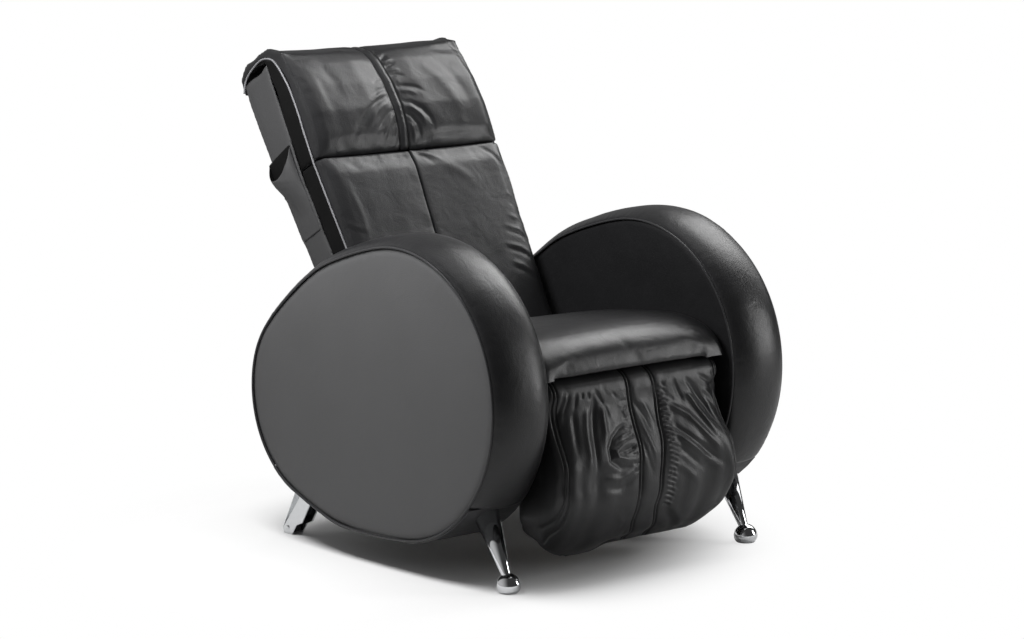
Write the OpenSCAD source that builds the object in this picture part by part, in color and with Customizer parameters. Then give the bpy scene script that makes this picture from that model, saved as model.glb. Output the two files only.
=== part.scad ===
/* [Arms] */
// Half distance between the outer seams of the two arms
arm_outer_x = 385; // [370:1:460]
// Half distance between the inner faces of the two arms
arm_inner_x = 250; // [245:1:320]
// Radius of the large round front of an arm
arm_front_r = 285; // [240:1:340]
// Radius of the smaller round rear of an arm
arm_rear_r = 210; // [180:1:240]
// Distance from the front centre of an arm back to its rear centre
arm_centres = 250; // [200:1:320]
// Height of the front centre of an arm
arm_front_z = 355; // [340:1:430]
// Height of the rear centre of an arm
arm_rear_z = 310; // [280:1:360]
// Crown of the padded band above the seams
band_crown = 22; // [10:1:30]
// Crown of the upholstered outer face
face_crown = 5; // [2:0.5:12]
// Thickness of the arm's boards
arm_board_t = 12; // [9:1:18]
// Thickness of the padding on an arm's faces
arm_pad_t = 6; // [4:0.5:10]

/* [Legs] */
// Half distance between the feet
foot_x = 320; // [300:1:350]
// Distance of the front feet ahead of the origin
foot_front = 435; // [400:1:460]
// Diameter of a ball foot
ball_d = 48; // [36:1:60]
// Height of a ball foot
ball_h = 37; // [30:1:44]
// Diameter of a front leg at its top
leg_top_d = 54; // [44:1:60]
// Diameter of a front leg at the ball
leg_low_d = 18; // [14:1:24]
// Distance of the rear feet behind the origin
foot_rear = 236; // [200:1:260]
// Diameter of a transport wheel
wheel_d = 24; // [20:1:30]
// Width of a transport wheel
wheel_w = 22; // [14:1:26]
// Diameter of a wheel's axle
axle_d = 6; // [5:0.5:8]

/* [Seat] */
// Height of the seat's crown above the floor
seat_h = 468; // [450:1:500]
// Distance of the seat's front seam ahead of the origin
seat_front = 453; // [430:1:480]
// Half width of the seat cushion
seat_half_w = 243; // [220:1:244]
// Height of the seam under the seat's front edge
seat_seam_z = 393; // [385:1:410]
// Thickness of the seat deck
deck_t = 15; // [12:1:20]
// Height of the side rails' upper faces
rail_top = 308; // [290:1:312]
// Height of a side rail's section
rail_h = 40; // [30:1:50]
// Wall of the frame tubes
tube_wall = 2; // [1.5:0.5:3]

/* [Backrest] */
// Angle of the backrest from upright at rest
recline = 30; // [24:1:34]
// Distance of the backrest's pivot behind the origin
pivot_y = 110; // [100:1:120]
// Height of the backrest's pivot
pivot_z = 335; // [330:1:345]
// Half width of the backrest at its pivot
back_low_w = 225; // [215:1:228]
// Half width of the backrest at the headrest seam
back_mid_w = 244; // [230:1:246]
// Half width of the backrest at its top
back_top_w = 237; // [225:1:244]
// Distance up the backrest to the headrest seam
head_seam = 435; // [400:1:460]
// Distance up the backrest to the top of its shell
shell_top = 687; // [640:1:700]
// Depth of the pads in front of the shell at their edges
pad_edge = 62; // [58:1:70]
// Wall of the backrest's shell
shell_wall = 8; // [6:1:10]
// Angle that the backrest reclines from rest
recline_travel = 35; // [25:1:40]

/* [Legrest] */
// Distance of the legrest's pivot ahead of the origin
hinge_front = 415; // [405:1:420]
// Height of the legrest's pivot
hinge_z = 362; // [355:1:370]
// Radius of the legrest's rounded top about its pivot
legrest_top_r = 38; // [34:1:40]
// Half width of the legrest
legrest_half_w = 230; // [210:1:240]
// Height of the legrest's lower hem above the floor
legrest_low = 48; // [40:1:70]
// Distance of the legrest's belly ahead of the origin
legrest_belly = 494; // [480:1:510]
// Angle that the legrest lifts from rest
legrest_travel = 75; // [60:1:80]

/* [Mechanism] */
// Height of the massage carriage up the backrest at rest
carriage_s = 330; // [300:1:360]
// Half distance between the guide rods
rod_x = 120; // [110:1:130]
// Diameter of the guide rods
rod_d = 16; // [12:1:18]
// Diameter of the lead screw
screw_d = 16; // [12:1:18]
// Diameter of the kneading shaft
shaft_d = 20; // [16:1:22]
// Eccentricity of the kneading hubs
knead_e = 6; // [3:0.5:6]
// Half distance between the massage arms
massage_x = 70; // [66:1:74]
// Half distance between the upper and lower massage balls
ball_s = 62; // [58:1:68]
// Diameter of a massage ball
massage_ball_d = 52; // [44:1:54]
// Lever arm from the backrest's pivot to its push rod
recline_lever = 120; // [110:1:126]
// Lever arm from the legrest's pivot to its push rod
legrest_lever = 105; // [100:1:110]

/* [Hidden] */

$fn = 48;
leather = [0.06, 0.06, 0.065];
leather_face = [0.16, 0.16, 0.17];
ply = [0.78, 0.62, 0.42];
steel = [0.35, 0.36, 0.38];
chrome = [0.8, 0.81, 0.83];
plastic = [0.1, 0.1, 0.11];

// Clearances
soft_gap = 0.3;
run_gap = 0.05;

// Arm outline: the tangent hull of four circles, each [y, z, radius]
arm_front_y = -180;
arm_rear_y = arm_front_y + arm_centres;
arm_circles = [
    [arm_front_y, arm_front_z, arm_front_r],
    [arm_rear_y, arm_rear_z, arm_rear_r],
    [arm_rear_y - 100, arm_rear_z - 10, arm_rear_r + 23],
    [arm_rear_y - 110, arm_rear_z + 50, arm_rear_r + 28]
];
arm_step = 6;
band_from = -48;
band_to = 222;
end_turn = 0.5;
base_plate_t = 6;
hoop_t = 6;
piping_r = 2.5;

// Side rails and cross tubes
rail_w = 24.7;
rail_inner_x = arm_inner_x - soft_gap - rail_w;
rail_from = -385;
rail_to = 205;
cross_h = 30;
bolt_spots = [[-240, 288], [-60, 288], [110, 288]];
bolt_d = 8;
deck_from = -368;
deck_to = 20;
deck_top = rail_top + deck_t;

// Pivot of the backrest and of the legrest
pin_d = 16;
hinge_y = -hinge_front;
hinge_pin_d = 12;
bracket_t = 5;
strap_x = 212;
lever_t = 8;

// Backrest's section, in its own frame: [distance rearward, distance up]
shell_front = -35;
shell_rear_low = 25;
shell_rear_high = 57;
shell_rear_top = 655;
pad_front = shell_front - pad_edge;
bar_outer_x = back_low_w - shell_wall - soft_gap;
bar_w = 20;
bar_front = -15;
bar_rear = 13;
bar_to = 620;
lower_tube = 20;
upper_tube = 600;
back_tube_h = 25;
recess_share = 0.6;
recess_depth = -90;

// Massage mechanism and push rods
knead_t = -42;
axle_t = -55;
hub_d = 40;
hub_w = 16;
massage_arm_t = 14;
ball_axle_d = 12;
ball_offset = 28;
push_rod_d = 18;
push_pin_d = 10;
fork_w = 24;
fork_reach = 38;

// Half width of the backrest at a height up it
function back_w(s) = s < head_seam
    ? back_low_w + (back_mid_w - back_low_w) * s / head_seam
    : back_mid_w + (back_top_w - back_mid_w) * (s - head_seam) / (shell_top - head_seam);

// Point of the arm's outline with its outward normal at an angle, moved out by a distance
function arm_reach(angle) = [for (c = arm_circles) c[0] * cos(angle) + c[1] * sin(angle) + c[2]];
function arm_circle(angle) =
    let (reach = arm_reach(angle)) arm_circles[search(max(reach), reach)[0]];
function arm_point(angle, out = 0) =
    let (c = arm_circle(angle)) [c[0] + (c[2] + out) * cos(angle), c[1] + (c[2] + out) * sin(angle)];
function arm_outline(out = 0) = [for (a = [0 : arm_step : 359]) arm_point(a, out)];

// Curve through control points, with a number of steps in each span
function bend(a, b, c, d, u) =
    0.5 * (2 * b + (c - a) * u + (2 * a - 5 * b + 4 * c - d) * u * u
        + (3 * b - a - 3 * c + d) * u * u * u);
function curve(p, steps) = [
    for (i = [0 : len(p) - 2], k = [0 : steps - 1])
        bend(p[max(i - 1, 0)], p[i], p[i + 1], p[min(i + 2, len(p) - 1)], k / steps),
    p[len(p) - 1]
];

// Solid through a row of equal closed rings, capped at both ends or joined into a loop
module loft(rings, joined = false) {
    m = len(rings[0]);
    n = len(rings);
    spans = joined ? n : n - 1;
    function id(i, j) = (i % n) * m + j % m;
    function middle(ring) = ring * [for (p = ring) 1] / m;
    ends = [for (end = [rings[0], rings[n - 1]]) [for (k = [0 : 2]) middle([for (p = end) p[k]])]];
    sides = [
        for (i = [0 : spans - 1], j = [0 : m - 1])
            each [[id(i, j), id(i, j + 1), id(i + 1, j + 1)], [id(i, j), id(i + 1, j + 1), id(i + 1, j)]]
    ];
    caps = joined ? [] : [
        for (j = [0 : m - 1])
            each [[n * m, id(0, j + 1), id(0, j)], [n * m + 1, id(n - 1, j), id(n - 1, j + 1)]]
    ];
    points = [for (ring = rings) each ring];
    polyhedron(joined ? points : concat(points, ends), concat(sides, caps));
}

// Solid between a front sheet and a rear sheet of points, each a list of equal rows
module quilt(front, rear) {
    n = len(front);
    m = len(front[0]);
    function id(i, j, sheet) = sheet * n * m + i * m + j;
    function patch(a, b, c, d) = [[a, b, c], [a, c, d]];
    sheets = [for (i = [0 : n - 2], j = [0 : m - 2]) each concat(
        patch(id(i, j, 0), id(i, j + 1, 0), id(i + 1, j + 1, 0), id(i + 1, j, 0)),
        patch(id(i + 1, j, 1), id(i + 1, j + 1, 1), id(i, j + 1, 1), id(i, j, 1))
    )];
    sides = [for (i = [0 : n - 2]) each concat(
        patch(id(i, 0, 0), id(i + 1, 0, 0), id(i + 1, 0, 1), id(i, 0, 1)),
        patch(id(i + 1, m - 1, 0), id(i, m - 1, 0), id(i, m - 1, 1), id(i + 1, m - 1, 1))
    )];
    ends = [for (j = [0 : m - 2]) each concat(
        patch(id(0, j + 1, 0), id(0, j, 0), id(0, j, 1), id(0, j + 1, 1)),
        patch(id(n - 1, j, 0), id(n - 1, j + 1, 0), id(n - 1, j + 1, 1), id(n - 1, j, 1))
    )];
    polyhedron(concat([for (row = front) each row], [for (row = rear) each row]), concat(sheets, sides, ends));
}

// Plate with an outline in Y and Z, between two distances along X
module side_plate(from, to) {
    translate([from, 0, 0]) rotate([90, 0, 90]) linear_extrude(to - from) children();
}

// Cylinder along X between two distances
module x_rod(d, from, to, at = [0, 0]) {
    translate([from, at[0], at[1]]) rotate([0, 90, 0]) cylinder(d = d, h = to - from);
}

// Flat bar with round ends between two points
module bar(p, q, width) {
    turn = atan2(q[1] - p[1], q[0] - p[0]);
    arc = [for (a = [-90 : 15 : 90]) width / 2 * [cos(turn + a), sin(turn + a)]];
    polygon(concat([for (r = arc) q + r], [for (r = arc) p - r]));
}

// Square tube along X
module cross_tube(y, z, depth, height, half_length) {
    difference() {
        translate([-half_length, y, z]) cube([2 * half_length, depth, height]);
        translate([-half_length - 1, y + tube_wall, z + tube_wall])
            cube([2 * half_length + 2, depth - 2 * tube_wall, height - 2 * tube_wall]);
    }
}

// Children on the sitter's left, or mirrored to the right
module on_side(left) {
    if (left) children();
    else mirror([1, 0, 0]) children();
}

// Frame of the backrest, turned about its pivot
module in_back() {
    translate([0, pivot_y, pivot_z]) rotate([-recline, 0, 0]) children();
}

module arm_bolt_holes() {
    to = arm_inner_x + arm_pad_t + arm_board_t + 1;
    for (spot = bolt_spots) x_rod(bolt_d + 1, rail_inner_x - 1, to, spot);
}

module arm_carcass() {
    inner = arm_inner_x + arm_pad_t;
    outer = arm_outer_x - 2 * arm_pad_t;
    color(ply) difference() {
        side_plate(inner, inner + arm_board_t) polygon(arm_outline(-soft_gap));
        arm_bolt_holes();
    }
    color(ply) side_plate(outer - arm_board_t, outer) polygon(arm_outline(-soft_gap));
    color(ply) side_plate(inner + arm_board_t, outer - arm_board_t) difference() {
        polygon(arm_outline(-soft_gap));
        polygon(arm_outline(-soft_gap - hoop_t));
    }
}

module arm_base_plate() {
    angles = [for (a = [band_to : arm_step : 360 + band_from]) a];
    last = len(angles) - 1;
    color(plastic) side_plate(arm_inner_x, arm_outer_x) polygon(concat(
        [for (a = angles) arm_point(a, base_plate_t)],
        [for (k = [last : -1 : 0]) arm_point(angles[k])]
    ));
}

module arm_band() {
    half = (arm_outer_x - arm_inner_x) / 2;
    steps = 10;
    edge_t = 1;
    section = [for (k = [0 : steps])
        let (u = -cos(180 * k / steps))
            [arm_inner_x + half * (1 + u), edge_t + band_crown * pow(1 - pow(abs(u), 2.4), 0.62)]];
    ring = concat([[arm_inner_x, 0]], section, [[arm_outer_x, 0]]);
    angles = [
        band_from + end_turn,
        for (a = [band_from + arm_step : arm_step : band_to - arm_step]) a,
        band_to - end_turn
    ];
    color(leather) loft([for (a = angles) [for (p = ring) let (q = arm_point(a, p[1])) [p[0], q[0], q[1]]]]);
}

module arm_outer_panel() {
    start = arm_outer_x - 2 * arm_pad_t;
    middle = [arm_front_y + arm_centres / 3, (arm_front_z + arm_rear_z) / 2];
    color(leather_face) loft([
        for (level = [[0, 0.25], [0, 0.55], [0, 0.8], [arm_outer_x, 0.985], [arm_outer_x - 2, 1], [start, 1]])
            [for (p = arm_outline(-soft_gap))
                let (q = middle + (p - middle) * level[1])
                [level[0] > 0 ? level[0] : arm_outer_x + face_crown * (1 - pow(level[1], 2)), q[0], q[1]]]
    ]);
}

module arm_inner_panel() {
    color(leather) difference() {
        side_plate(arm_inner_x, arm_inner_x + arm_pad_t) polygon(arm_outline(-soft_gap));
        arm_bolt_holes();
    }
}

// Welt along the seam at one distance along X
module arm_welt(x) {
    loft([
        for (a = [0 : arm_step : 359])
            [for (t = [0 : 72 : 359])
                let (q = arm_point(a, piping_r * cos(t))) [x + piping_r * sin(t), q[0], q[1]]]
    ], joined = true);
}

module arm_piping() {
    color(leather) for (left = [true, false]) on_side(left) {
        arm_welt(arm_outer_x + piping_r + soft_gap);
        arm_welt(arm_inner_x - piping_r - soft_gap);
    }
}

// Space taken by an arm and its base plate
module arm_space() {
    side_plate(arm_inner_x - 1, arm_outer_x + 1) polygon(arm_outline(base_plate_t + soft_gap));
}

leg_low = [-foot_front + 6, ball_h - 6];
leg_top = [-foot_front + 90, 190];

module front_leg() {
    run = leg_top - leg_low;
    color(chrome) difference() {
        translate([foot_x, leg_low[0], leg_low[1]]) rotate([-atan2(run[0], run[1]), 0, 0])
            cylinder(d1 = leg_low_d, d2 = leg_top_d + 12, h = norm(run));
        arm_space();
        ball_foot_shape();
    }
}

module ball_foot_shape() {
    r = ball_d / 2;
    widest = ball_h - r;
    translate([foot_x, -foot_front, 0]) rotate_extrude() {
        polygon([[0, 0], [r - 5, 0], [r - 2.2, 4], [r - 0.6, 9], [r, widest], [0, widest]]);
        intersection() {
            translate([0, widest]) circle(r = r);
            translate([0, widest]) square(r);
        }
    }
}

module ball_foot() {
    color(chrome) ball_foot_shape();
}

wheel_lift = 1.5;
wheel_y = foot_rear - 1.5;
wheel_z = wheel_d / 2 + wheel_lift;
cheek_t = 3;
cheek_x = wheel_w / 2 + 1;

module rear_leg() {
    cheek = [
        [foot_rear - 14, 0], [foot_rear + 12, 0], [foot_rear + 16, 10], [foot_rear - 82, 160],
        [foot_rear - 130, 160], [foot_rear - 49, 30], [foot_rear - 30, 22]
    ];
    color(chrome) difference() {
        union() {
            for (k = [-1, 1])
                side_plate(foot_x + k * (cheek_x + cheek_t / 2) - cheek_t / 2,
                    foot_x + k * (cheek_x + cheek_t / 2) + cheek_t / 2) polygon(cheek);
            intersection() {
                side_plate(foot_x - 60, foot_x + 60) polygon([
                    [foot_rear + 10, 19], [foot_rear + 13, 10.5], [foot_rear + 16, 10],
                    [foot_rear - 82, 160], [foot_rear - 85, 160]
                ]);
                translate([foot_x, foot_rear + 40, 0]) rotate([90, 0, 0]) linear_extrude(200)
                    polygon([[-15, 20], [15, 20], [34, 160], [-34, 160]]);
            }
            x_rod(axle_d, foot_x - cheek_x - cheek_t - 2, foot_x + cheek_x + cheek_t + 2, [wheel_y, wheel_z]);
        }
        arm_space();
    }
}

module transport_wheel() {
    color([0.08, 0.08, 0.08]) difference() {
        x_rod(wheel_d, foot_x - wheel_w / 2, foot_x + wheel_w / 2, [wheel_y, wheel_z]);
        x_rod(axle_d + 2 * run_gap, foot_x - wheel_w, foot_x + wheel_w, [wheel_y, wheel_z]);
    }
}

module side_rail() {
    color(steel) difference() {
        translate([rail_inner_x, rail_from, rail_top - rail_h]) cube([rail_w, rail_to - rail_from, rail_h]);
        translate([rail_inner_x + tube_wall, rail_from - 1, rail_top - rail_h + tube_wall])
            cube([rail_w - 2 * tube_wall, rail_to - rail_from + 2, rail_h - 2 * tube_wall]);
        arm_bolt_holes();
    }
}

module base_cross(y) {
    color(steel) cross_tube(y, rail_top - cross_h, cross_h, cross_h, rail_inner_x);
}

front_cross_y = -290;
middle_cross_y = -165;
rear_cross_y = 175;

module arm_bolts() {
    inner = rail_inner_x;
    color(chrome) for (left = [true, false]) on_side(left) for (spot = bolt_spots) {
        x_rod(bolt_d, inner - 1, arm_inner_x + arm_pad_t + arm_board_t, spot);
        x_rod(13, inner - 6, inner, spot);
    }
}

module seat_deck() {
    half = arm_inner_x - 4;
    color(ply) difference() {
        translate([-half, deck_from, rail_top]) cube([2 * half, deck_to - deck_from, deck_t]);
        translate([-12, deck_from - 1, rail_top - 1]) cube([24, 32, deck_t + 2]);
    }
}

module seat_cushion() {
    low = deck_top + soft_gap;
    recess_r = legrest_top_r + 6;
    rise = [
        [-seat_front, seat_seam_z], [-seat_front + 3, seat_seam_z + 17], [-seat_front + 15, seat_h - 36],
        [-seat_front + 42, seat_h - 16], [-seat_front + 82, seat_h - 4], [-seat_front + 140, seat_h],
        [-seat_front + 250, seat_h - 9], [-seat_front + 370, seat_h - 31], [deck_to + 6, seat_h - 56]
    ];
    // The recess widens towards the lip, where the raised legrest comes close
    recess = [
        for (a = [135, each [120 : -20 : 0]])
            let (r = recess_r + 0.4 * max(a - 120, 0)) [hinge_y + r * cos(a), hinge_z + r * sin(a)]
    ];
    top = curve(rise, 2);
    under_from = deck_from + 8;
    under_steps = len(top) - len(recess) - 2;
    under_rear = deck_to - 36;
    under = concat(recess, [[hinge_y + recess_r + 3, low + 16]], [
        for (k = [0 : under_steps]) [under_from + (under_rear - under_from) * k / under_steps, low]
    ]);
    nose_y = -400;
    // Share of the half width with the fall of the top there
    half_levels = [[0, -7], [0.4, -6], [0.75, -3], [0.94, 0], [0.985, 5], [1, 12]];
    levels = concat(
        [for (k = [len(half_levels) - 1 : -1 : 1]) [-half_levels[k][0], half_levels[k][1]]],
        half_levels
    );
    color(leather) quilt(
        [for (level = levels) [
            for (p = top)
                let (fall = level[1] * min(1, (p[1] - seat_seam_z) / 30),
                    draw_in = p[0] < nose_y ? 0.6 * max(fall, 0) : 0)
                [level[0] * seat_half_w, p[0] + draw_in, p[1] - fall]
        ]],
        [for (level = levels) [for (p = under) [level[0] * seat_half_w, p[0], p[1]]]]
    );
}

module recline_brackets() {
    from = back_low_w + 5;
    color(steel) for (left = [true, false]) on_side(left) {
        side_plate(from, from + bracket_t) union() {
            translate([pivot_y, pivot_z]) circle(d = 36);
            translate([pivot_y - 25, rail_top]) square([50, pivot_z - rail_top]);
        }
        x_rod(pin_d, bar_outer_x - bar_w - 2, from + bracket_t, [pivot_y, pivot_z]);
    }
}

module legrest_brackets() {
    color(steel) for (left = [true, false]) on_side(left) {
        side_plate(rail_inner_x - bracket_t, rail_inner_x) union() {
            bar([hinge_y, hinge_z], [rail_from + 12, rail_top - 16], 22);
            translate([rail_from + 4, rail_top - rail_h + 4]) square([56, rail_h - 8]);
        }
        x_rod(hinge_pin_d, strap_x - 4, rail_inner_x, [hinge_y, hinge_z]);
    }
}

// Linear actuator along Y: tube, gearbox and motor, with a bore for its rod
module actuator(x, z, tip, back, hangers) {
    tube_d = 32;
    gearbox = [44, 50, 46];
    motor_d = 36;
    color(steel) difference() {
        union() {
            translate([x, tip, z]) rotate([-90, 0, 0]) cylinder(d = tube_d, h = back - tip + gearbox[1] / 2);
            translate([x - gearbox[0] / 2, back, z - 24]) cube(gearbox);
            translate([x + gearbox[0] / 2, back + gearbox[1] / 2, z - 40]) cylinder(d = motor_d, h = 60);
            for (y = hangers) translate([x - hanger_w / 2, y + 3, z])
                cube([hanger_w, cross_h - 6, rail_top - cross_h - z]);
        }
        translate([x, tip - 1, z]) rotate([-90, 0, 0])
            cylinder(d = push_rod_d + 2 * run_gap, h = back - tip - 8);
    }
}

hanger_w = 38;
legrest_rod_z = hinge_z - legrest_lever;
legrest_rod_rest = hinge_y + legrest_lever * tan(legrest_travel / 2);
legrest_rod_length = 186;
legrest_tube_length = 210;
recline_rod_z = pivot_z - recline_lever;
recline_rod_rest = pivot_y + recline_lever * tan(recline_travel / 2);
recline_rod_x = 90;
recline_rod_length = 126;
recline_tube_length = 150;

module legrest_actuator() {
    tip = legrest_rod_rest + fork_reach + 6;
    actuator(0, legrest_rod_z, tip, tip + legrest_tube_length, [front_cross_y, middle_cross_y]);
}

module recline_actuator() {
    stroke = 2 * recline_lever * tan(recline_travel / 2);
    tip = recline_rod_rest - stroke - fork_reach - 6;
    mirror([0, 1, 0]) actuator(recline_rod_x, recline_rod_z, -tip, -tip + recline_tube_length,
        [-middle_cross_y - cross_h]);
}

// Push rod that runs along +Y from a fork with its pin
module push_rod(length) {
    slot_w = lever_t + 3;
    eye_d = 30;
    translate([0, fork_reach, 0]) rotate([-90, 0, 0]) cylinder(d = push_rod_d, h = length);
    difference() {
        union() {
            x_rod(eye_d, -fork_w / 2, fork_w / 2);
            translate([-fork_w / 2, 0, -fork_w / 2]) cube([fork_w, fork_reach + 2, fork_w]);
        }
        translate([-slot_w / 2, -eye_d, -eye_d]) cube([slot_w, eye_d + fork_reach - 6, 2 * eye_d]);
    }
    x_rod(push_pin_d, -fork_w / 2 - 1, fork_w / 2 + 1);
}

module legrest_push_rod() {
    color(chrome) translate([0, legrest_rod_rest, legrest_rod_z]) push_rod(legrest_rod_length);
}

module recline_push_rod() {
    color(chrome) translate([recline_rod_x, recline_rod_rest, recline_rod_z]) mirror([0, 1, 0])
        push_rod(recline_rod_length);
}

module control_box() {
    color(plastic) difference() {
        translate([-200, -120, rail_top - 58]) cube([140, 130, 58]);
        for (k = [0 : 6]) translate([-190 + 18 * k, -121, rail_top - 44]) cube([6, 4, 30]);
    }
}

rear_cover_low = 130;
inlet_x = -150;
inlet_z = 190;

module rear_cover() {
    color(plastic) difference() {
        translate([-arm_inner_x + 5, rail_to, rear_cover_low])
            cube([2 * arm_inner_x - 10, 4, rail_top - rear_cover_low]);
        translate([inlet_x - 24, rail_to - 1, inlet_z - 30]) cube([48, 6, 60]);
    }
}

rocker_half = 14.2;
rocker_pin_d = 4;
rocker_at = [rail_to - 2, inlet_z + 14];

module power_inlet() {
    color(plastic) difference() {
        union() {
            translate([inlet_x - 23.7, rail_to - 22, inlet_z - 29.7]) cube([47.4, 26, 59.4]);
            translate([inlet_x - 28, rail_to + 4, inlet_z - 34]) cube([56, 3, 68]);
        }
        translate([inlet_x - 12, rail_to - 10, inlet_z - 24]) cube([24, 20, 17]);
        translate([inlet_x - 14.5, rail_to - 12, inlet_z + 3.5]) cube([29, 22, 21]);
        x_rod(rocker_pin_d + 2 * run_gap, inlet_x - rocker_half - 2, inlet_x + rocker_half + 2, rocker_at);
    }
    color(chrome) for (p = [[-7, -17], [7, -17], [0, -13]])
        translate([inlet_x + p[0] - 1, rail_to - 10, inlet_z + p[1] - 2]) cube([2, 12, 4]);
}

module power_rocker() {
    color([0.5, 0.05, 0.04]) translate([inlet_x, 0, 0]) {
        translate([0, rocker_at[0], rocker_at[1]]) side_plate(-rocker_half, rocker_half)
            polygon([[-8, -7], [4, -9], [9.5, -9], [7.5, 0], [9.5, 9], [4, 9], [-8, 7]]);
        x_rod(rocker_pin_d, -rocker_half - 1.7, rocker_half + 1.7, rocker_at);
    }
}

lever_dir = [sin(legrest_travel / 2), -cos(legrest_travel / 2)];
legrest_tube_at = 46;

module legrest_frame() {
    joint = [hinge_y, hinge_z];
    tube_at = joint + lever_dir * legrest_tube_at;
    low_tube_d = 16;
    low = [board_front + board_t + low_tube_d / 2 + soft_gap, legrest_low + 70];
    reach = legrest_lever / cos(legrest_travel / 2);
    slot_w = push_pin_d + 10;
    color(steel) for (left = [true, false]) on_side(left) difference() {
        side_plate(strap_x, strap_x + bracket_t) union() {
            circle_at(joint, 24);
            bar(joint, tube_at, 20);
            bar(tube_at, low, 20);
        }
        x_rod(hinge_pin_d + 2 * run_gap, strap_x - 1, strap_x + 10, joint);
    }
    color(steel) x_rod(18, -strap_x, strap_x, tube_at);
    color(steel) x_rod(low_tube_d, -strap_x, strap_x, low);
    color(steel) difference() {
        side_plate(-lever_t / 2, lever_t / 2) bar(tube_at, joint + lever_dir * (reach + 6), slot_w + 14);
        side_plate(-lever_t, lever_t)
            bar(joint + lever_dir * (legrest_lever - 1), joint + lever_dir * (reach + 1), slot_w);
    }
}

module circle_at(p, d) {
    translate(p) circle(d = d);
}

board_t = 12;
board_front = hinge_y + 15.3;

module legrest_board() {
    color(ply) translate([-205, board_front, legrest_low + 36])
        cube([410, board_t, hinge_z - 66 - legrest_low - 36]);
}

// Depth of the gathers in the legrest's leather at a distance across it
function gather(x, u) =
    3.2 * sin(x * 9.5) * (1 - u) + 2.2 * sin(x * 5.1 + 160 * u) + 1.6 * sin(x * 13 - 200 * u) * u;
// Seams that run down the legrest, as distances across it
legrest_seams = [-216, -33, 42, 216];
function seam_dip(x) = 7 * max([for (s = legrest_seams) exp(-pow((x - s) / 5, 2))]);

module legrest_pad() {
    low_r = 95;
    front = [
        [-legrest_top_r, 0], [-39, -34], [-54, -74], [-76, -122], [hinge_front - legrest_belly, -165],
        [-82, -210], [-64, -256], [-40, -292], [-8, legrest_low - hinge_z]
    ];
    top = [for (a = [80 : 25 : 155]) [legrest_top_r * cos(a), legrest_top_r * sin(a)]];
    faces = curve(front, 2);
    outer = concat(top, faces);
    hook = [for (a = [80, 110, 145, 180]) [17 * cos(a), 17 * sin(a)]];
    neck = [[-17, -10], [-15, -24], [-14, -36], [0, -50]];
    back_t = 15;
    back_top = -62;
    back_steps = len(outer) - len(hook) - len(neck) - 1;
    back_low = legrest_low - hinge_z + 12;
    inner = concat(hook, neck, [
        for (k = [0 : back_steps]) [back_t, back_top + (back_low - back_top) * k / back_steps]
    ]);
    function past(x, from) = max(abs(x) - from, 0);
    // Rise of the hem towards a rounded lower corner
    function side_r(x) =
        let (e = past(x, legrest_half_w - low_r)) low_r - sqrt(max(low_r * low_r - e * e, 0));
    // Draw of the front towards a rounded side edge
    function edge(x) = let (e = past(x, legrest_half_w - 16) / 16) 14 * (1 - sqrt(max(1 - e * e, 0)));
    stations = [for (k = [14 : -1 : -14])
        let (u = k / 14) legrest_half_w * (0.35 * sin(90 * u) + 0.65 * u)];
    function hang(z) = -z / (hinge_z - legrest_low);
    function placed(x, t, z) =
        [x, t, hang(z) > 0.5 ? z + side_r(x) * (hang(z) - 0.5) / 0.5 : z];
    color(leather) translate([0, hinge_y, hinge_z]) quilt(
        [for (x = stations) [
            for (k = [0 : len(outer) - 1])
                let (p = outer[k], u = hang(p[1]), shown = k >= len(top) && u > 0.02 && u < 1,
                    dent = shown ? min(1, 2 * u) * gather(x, u) + seam_dip(x) : 0)
                placed(x, p[0] + dent + edge(x), p[1])
        ]],
        [for (x = stations) [for (p = inner) placed(x, p[0], p[1])]]
    );
}

module back_side_bars() {
    color(steel) in_back() for (left = [true, false]) on_side(left) difference() {
        translate([bar_outer_x - bar_w, bar_front, -20]) cube([bar_w, bar_rear - bar_front, bar_to + 20]);
        translate([bar_outer_x - bar_w + tube_wall, bar_front + tube_wall, 22])
            cube([bar_w - 2 * tube_wall, bar_rear - bar_front - 2 * tube_wall, bar_to]);
        x_rod(pin_d + 2 * run_gap, bar_outer_x - bar_w - 1, bar_outer_x + 1);
    }
}

module back_cross_tubes() {
    color(steel) in_back() for (s = [lower_tube, upper_tube - 5])
        cross_tube(bar_front, s, bar_rear - bar_front, back_tube_h, bar_outer_x - bar_w);
}

module recline_lever_plate() {
    reach = recline_lever / cos(recline_travel / 2);
    aim = recline_travel / 2 - recline;
    dir = [sin(aim + 2 * recline), -cos(aim + 2 * recline)];
    color(steel) in_back() difference() {
        side_plate(recline_rod_x - lever_t / 2, recline_rod_x + lever_t / 2) union() {
            bar([0, 4], dir * (reach + 2), 30);
            translate([bar_front, 0]) square([bar_rear - bar_front, lower_tube]);
        }
        side_plate(recline_rod_x - lever_t, recline_rod_x + lever_t)
            bar(dir * (recline_lever - 1), dir * (reach + 1), push_pin_d + 3);
    }
}

// Outline of the backrest seen from the front, as half widths
module back_face(inset, top) {
    polygon(concat(
        [for (s = [0, head_seam, top]) [back_w(s) - inset, s]],
        [for (s = [top, head_seam, 0]) [-back_w(s) + inset, s]]
    ));
}

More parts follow.
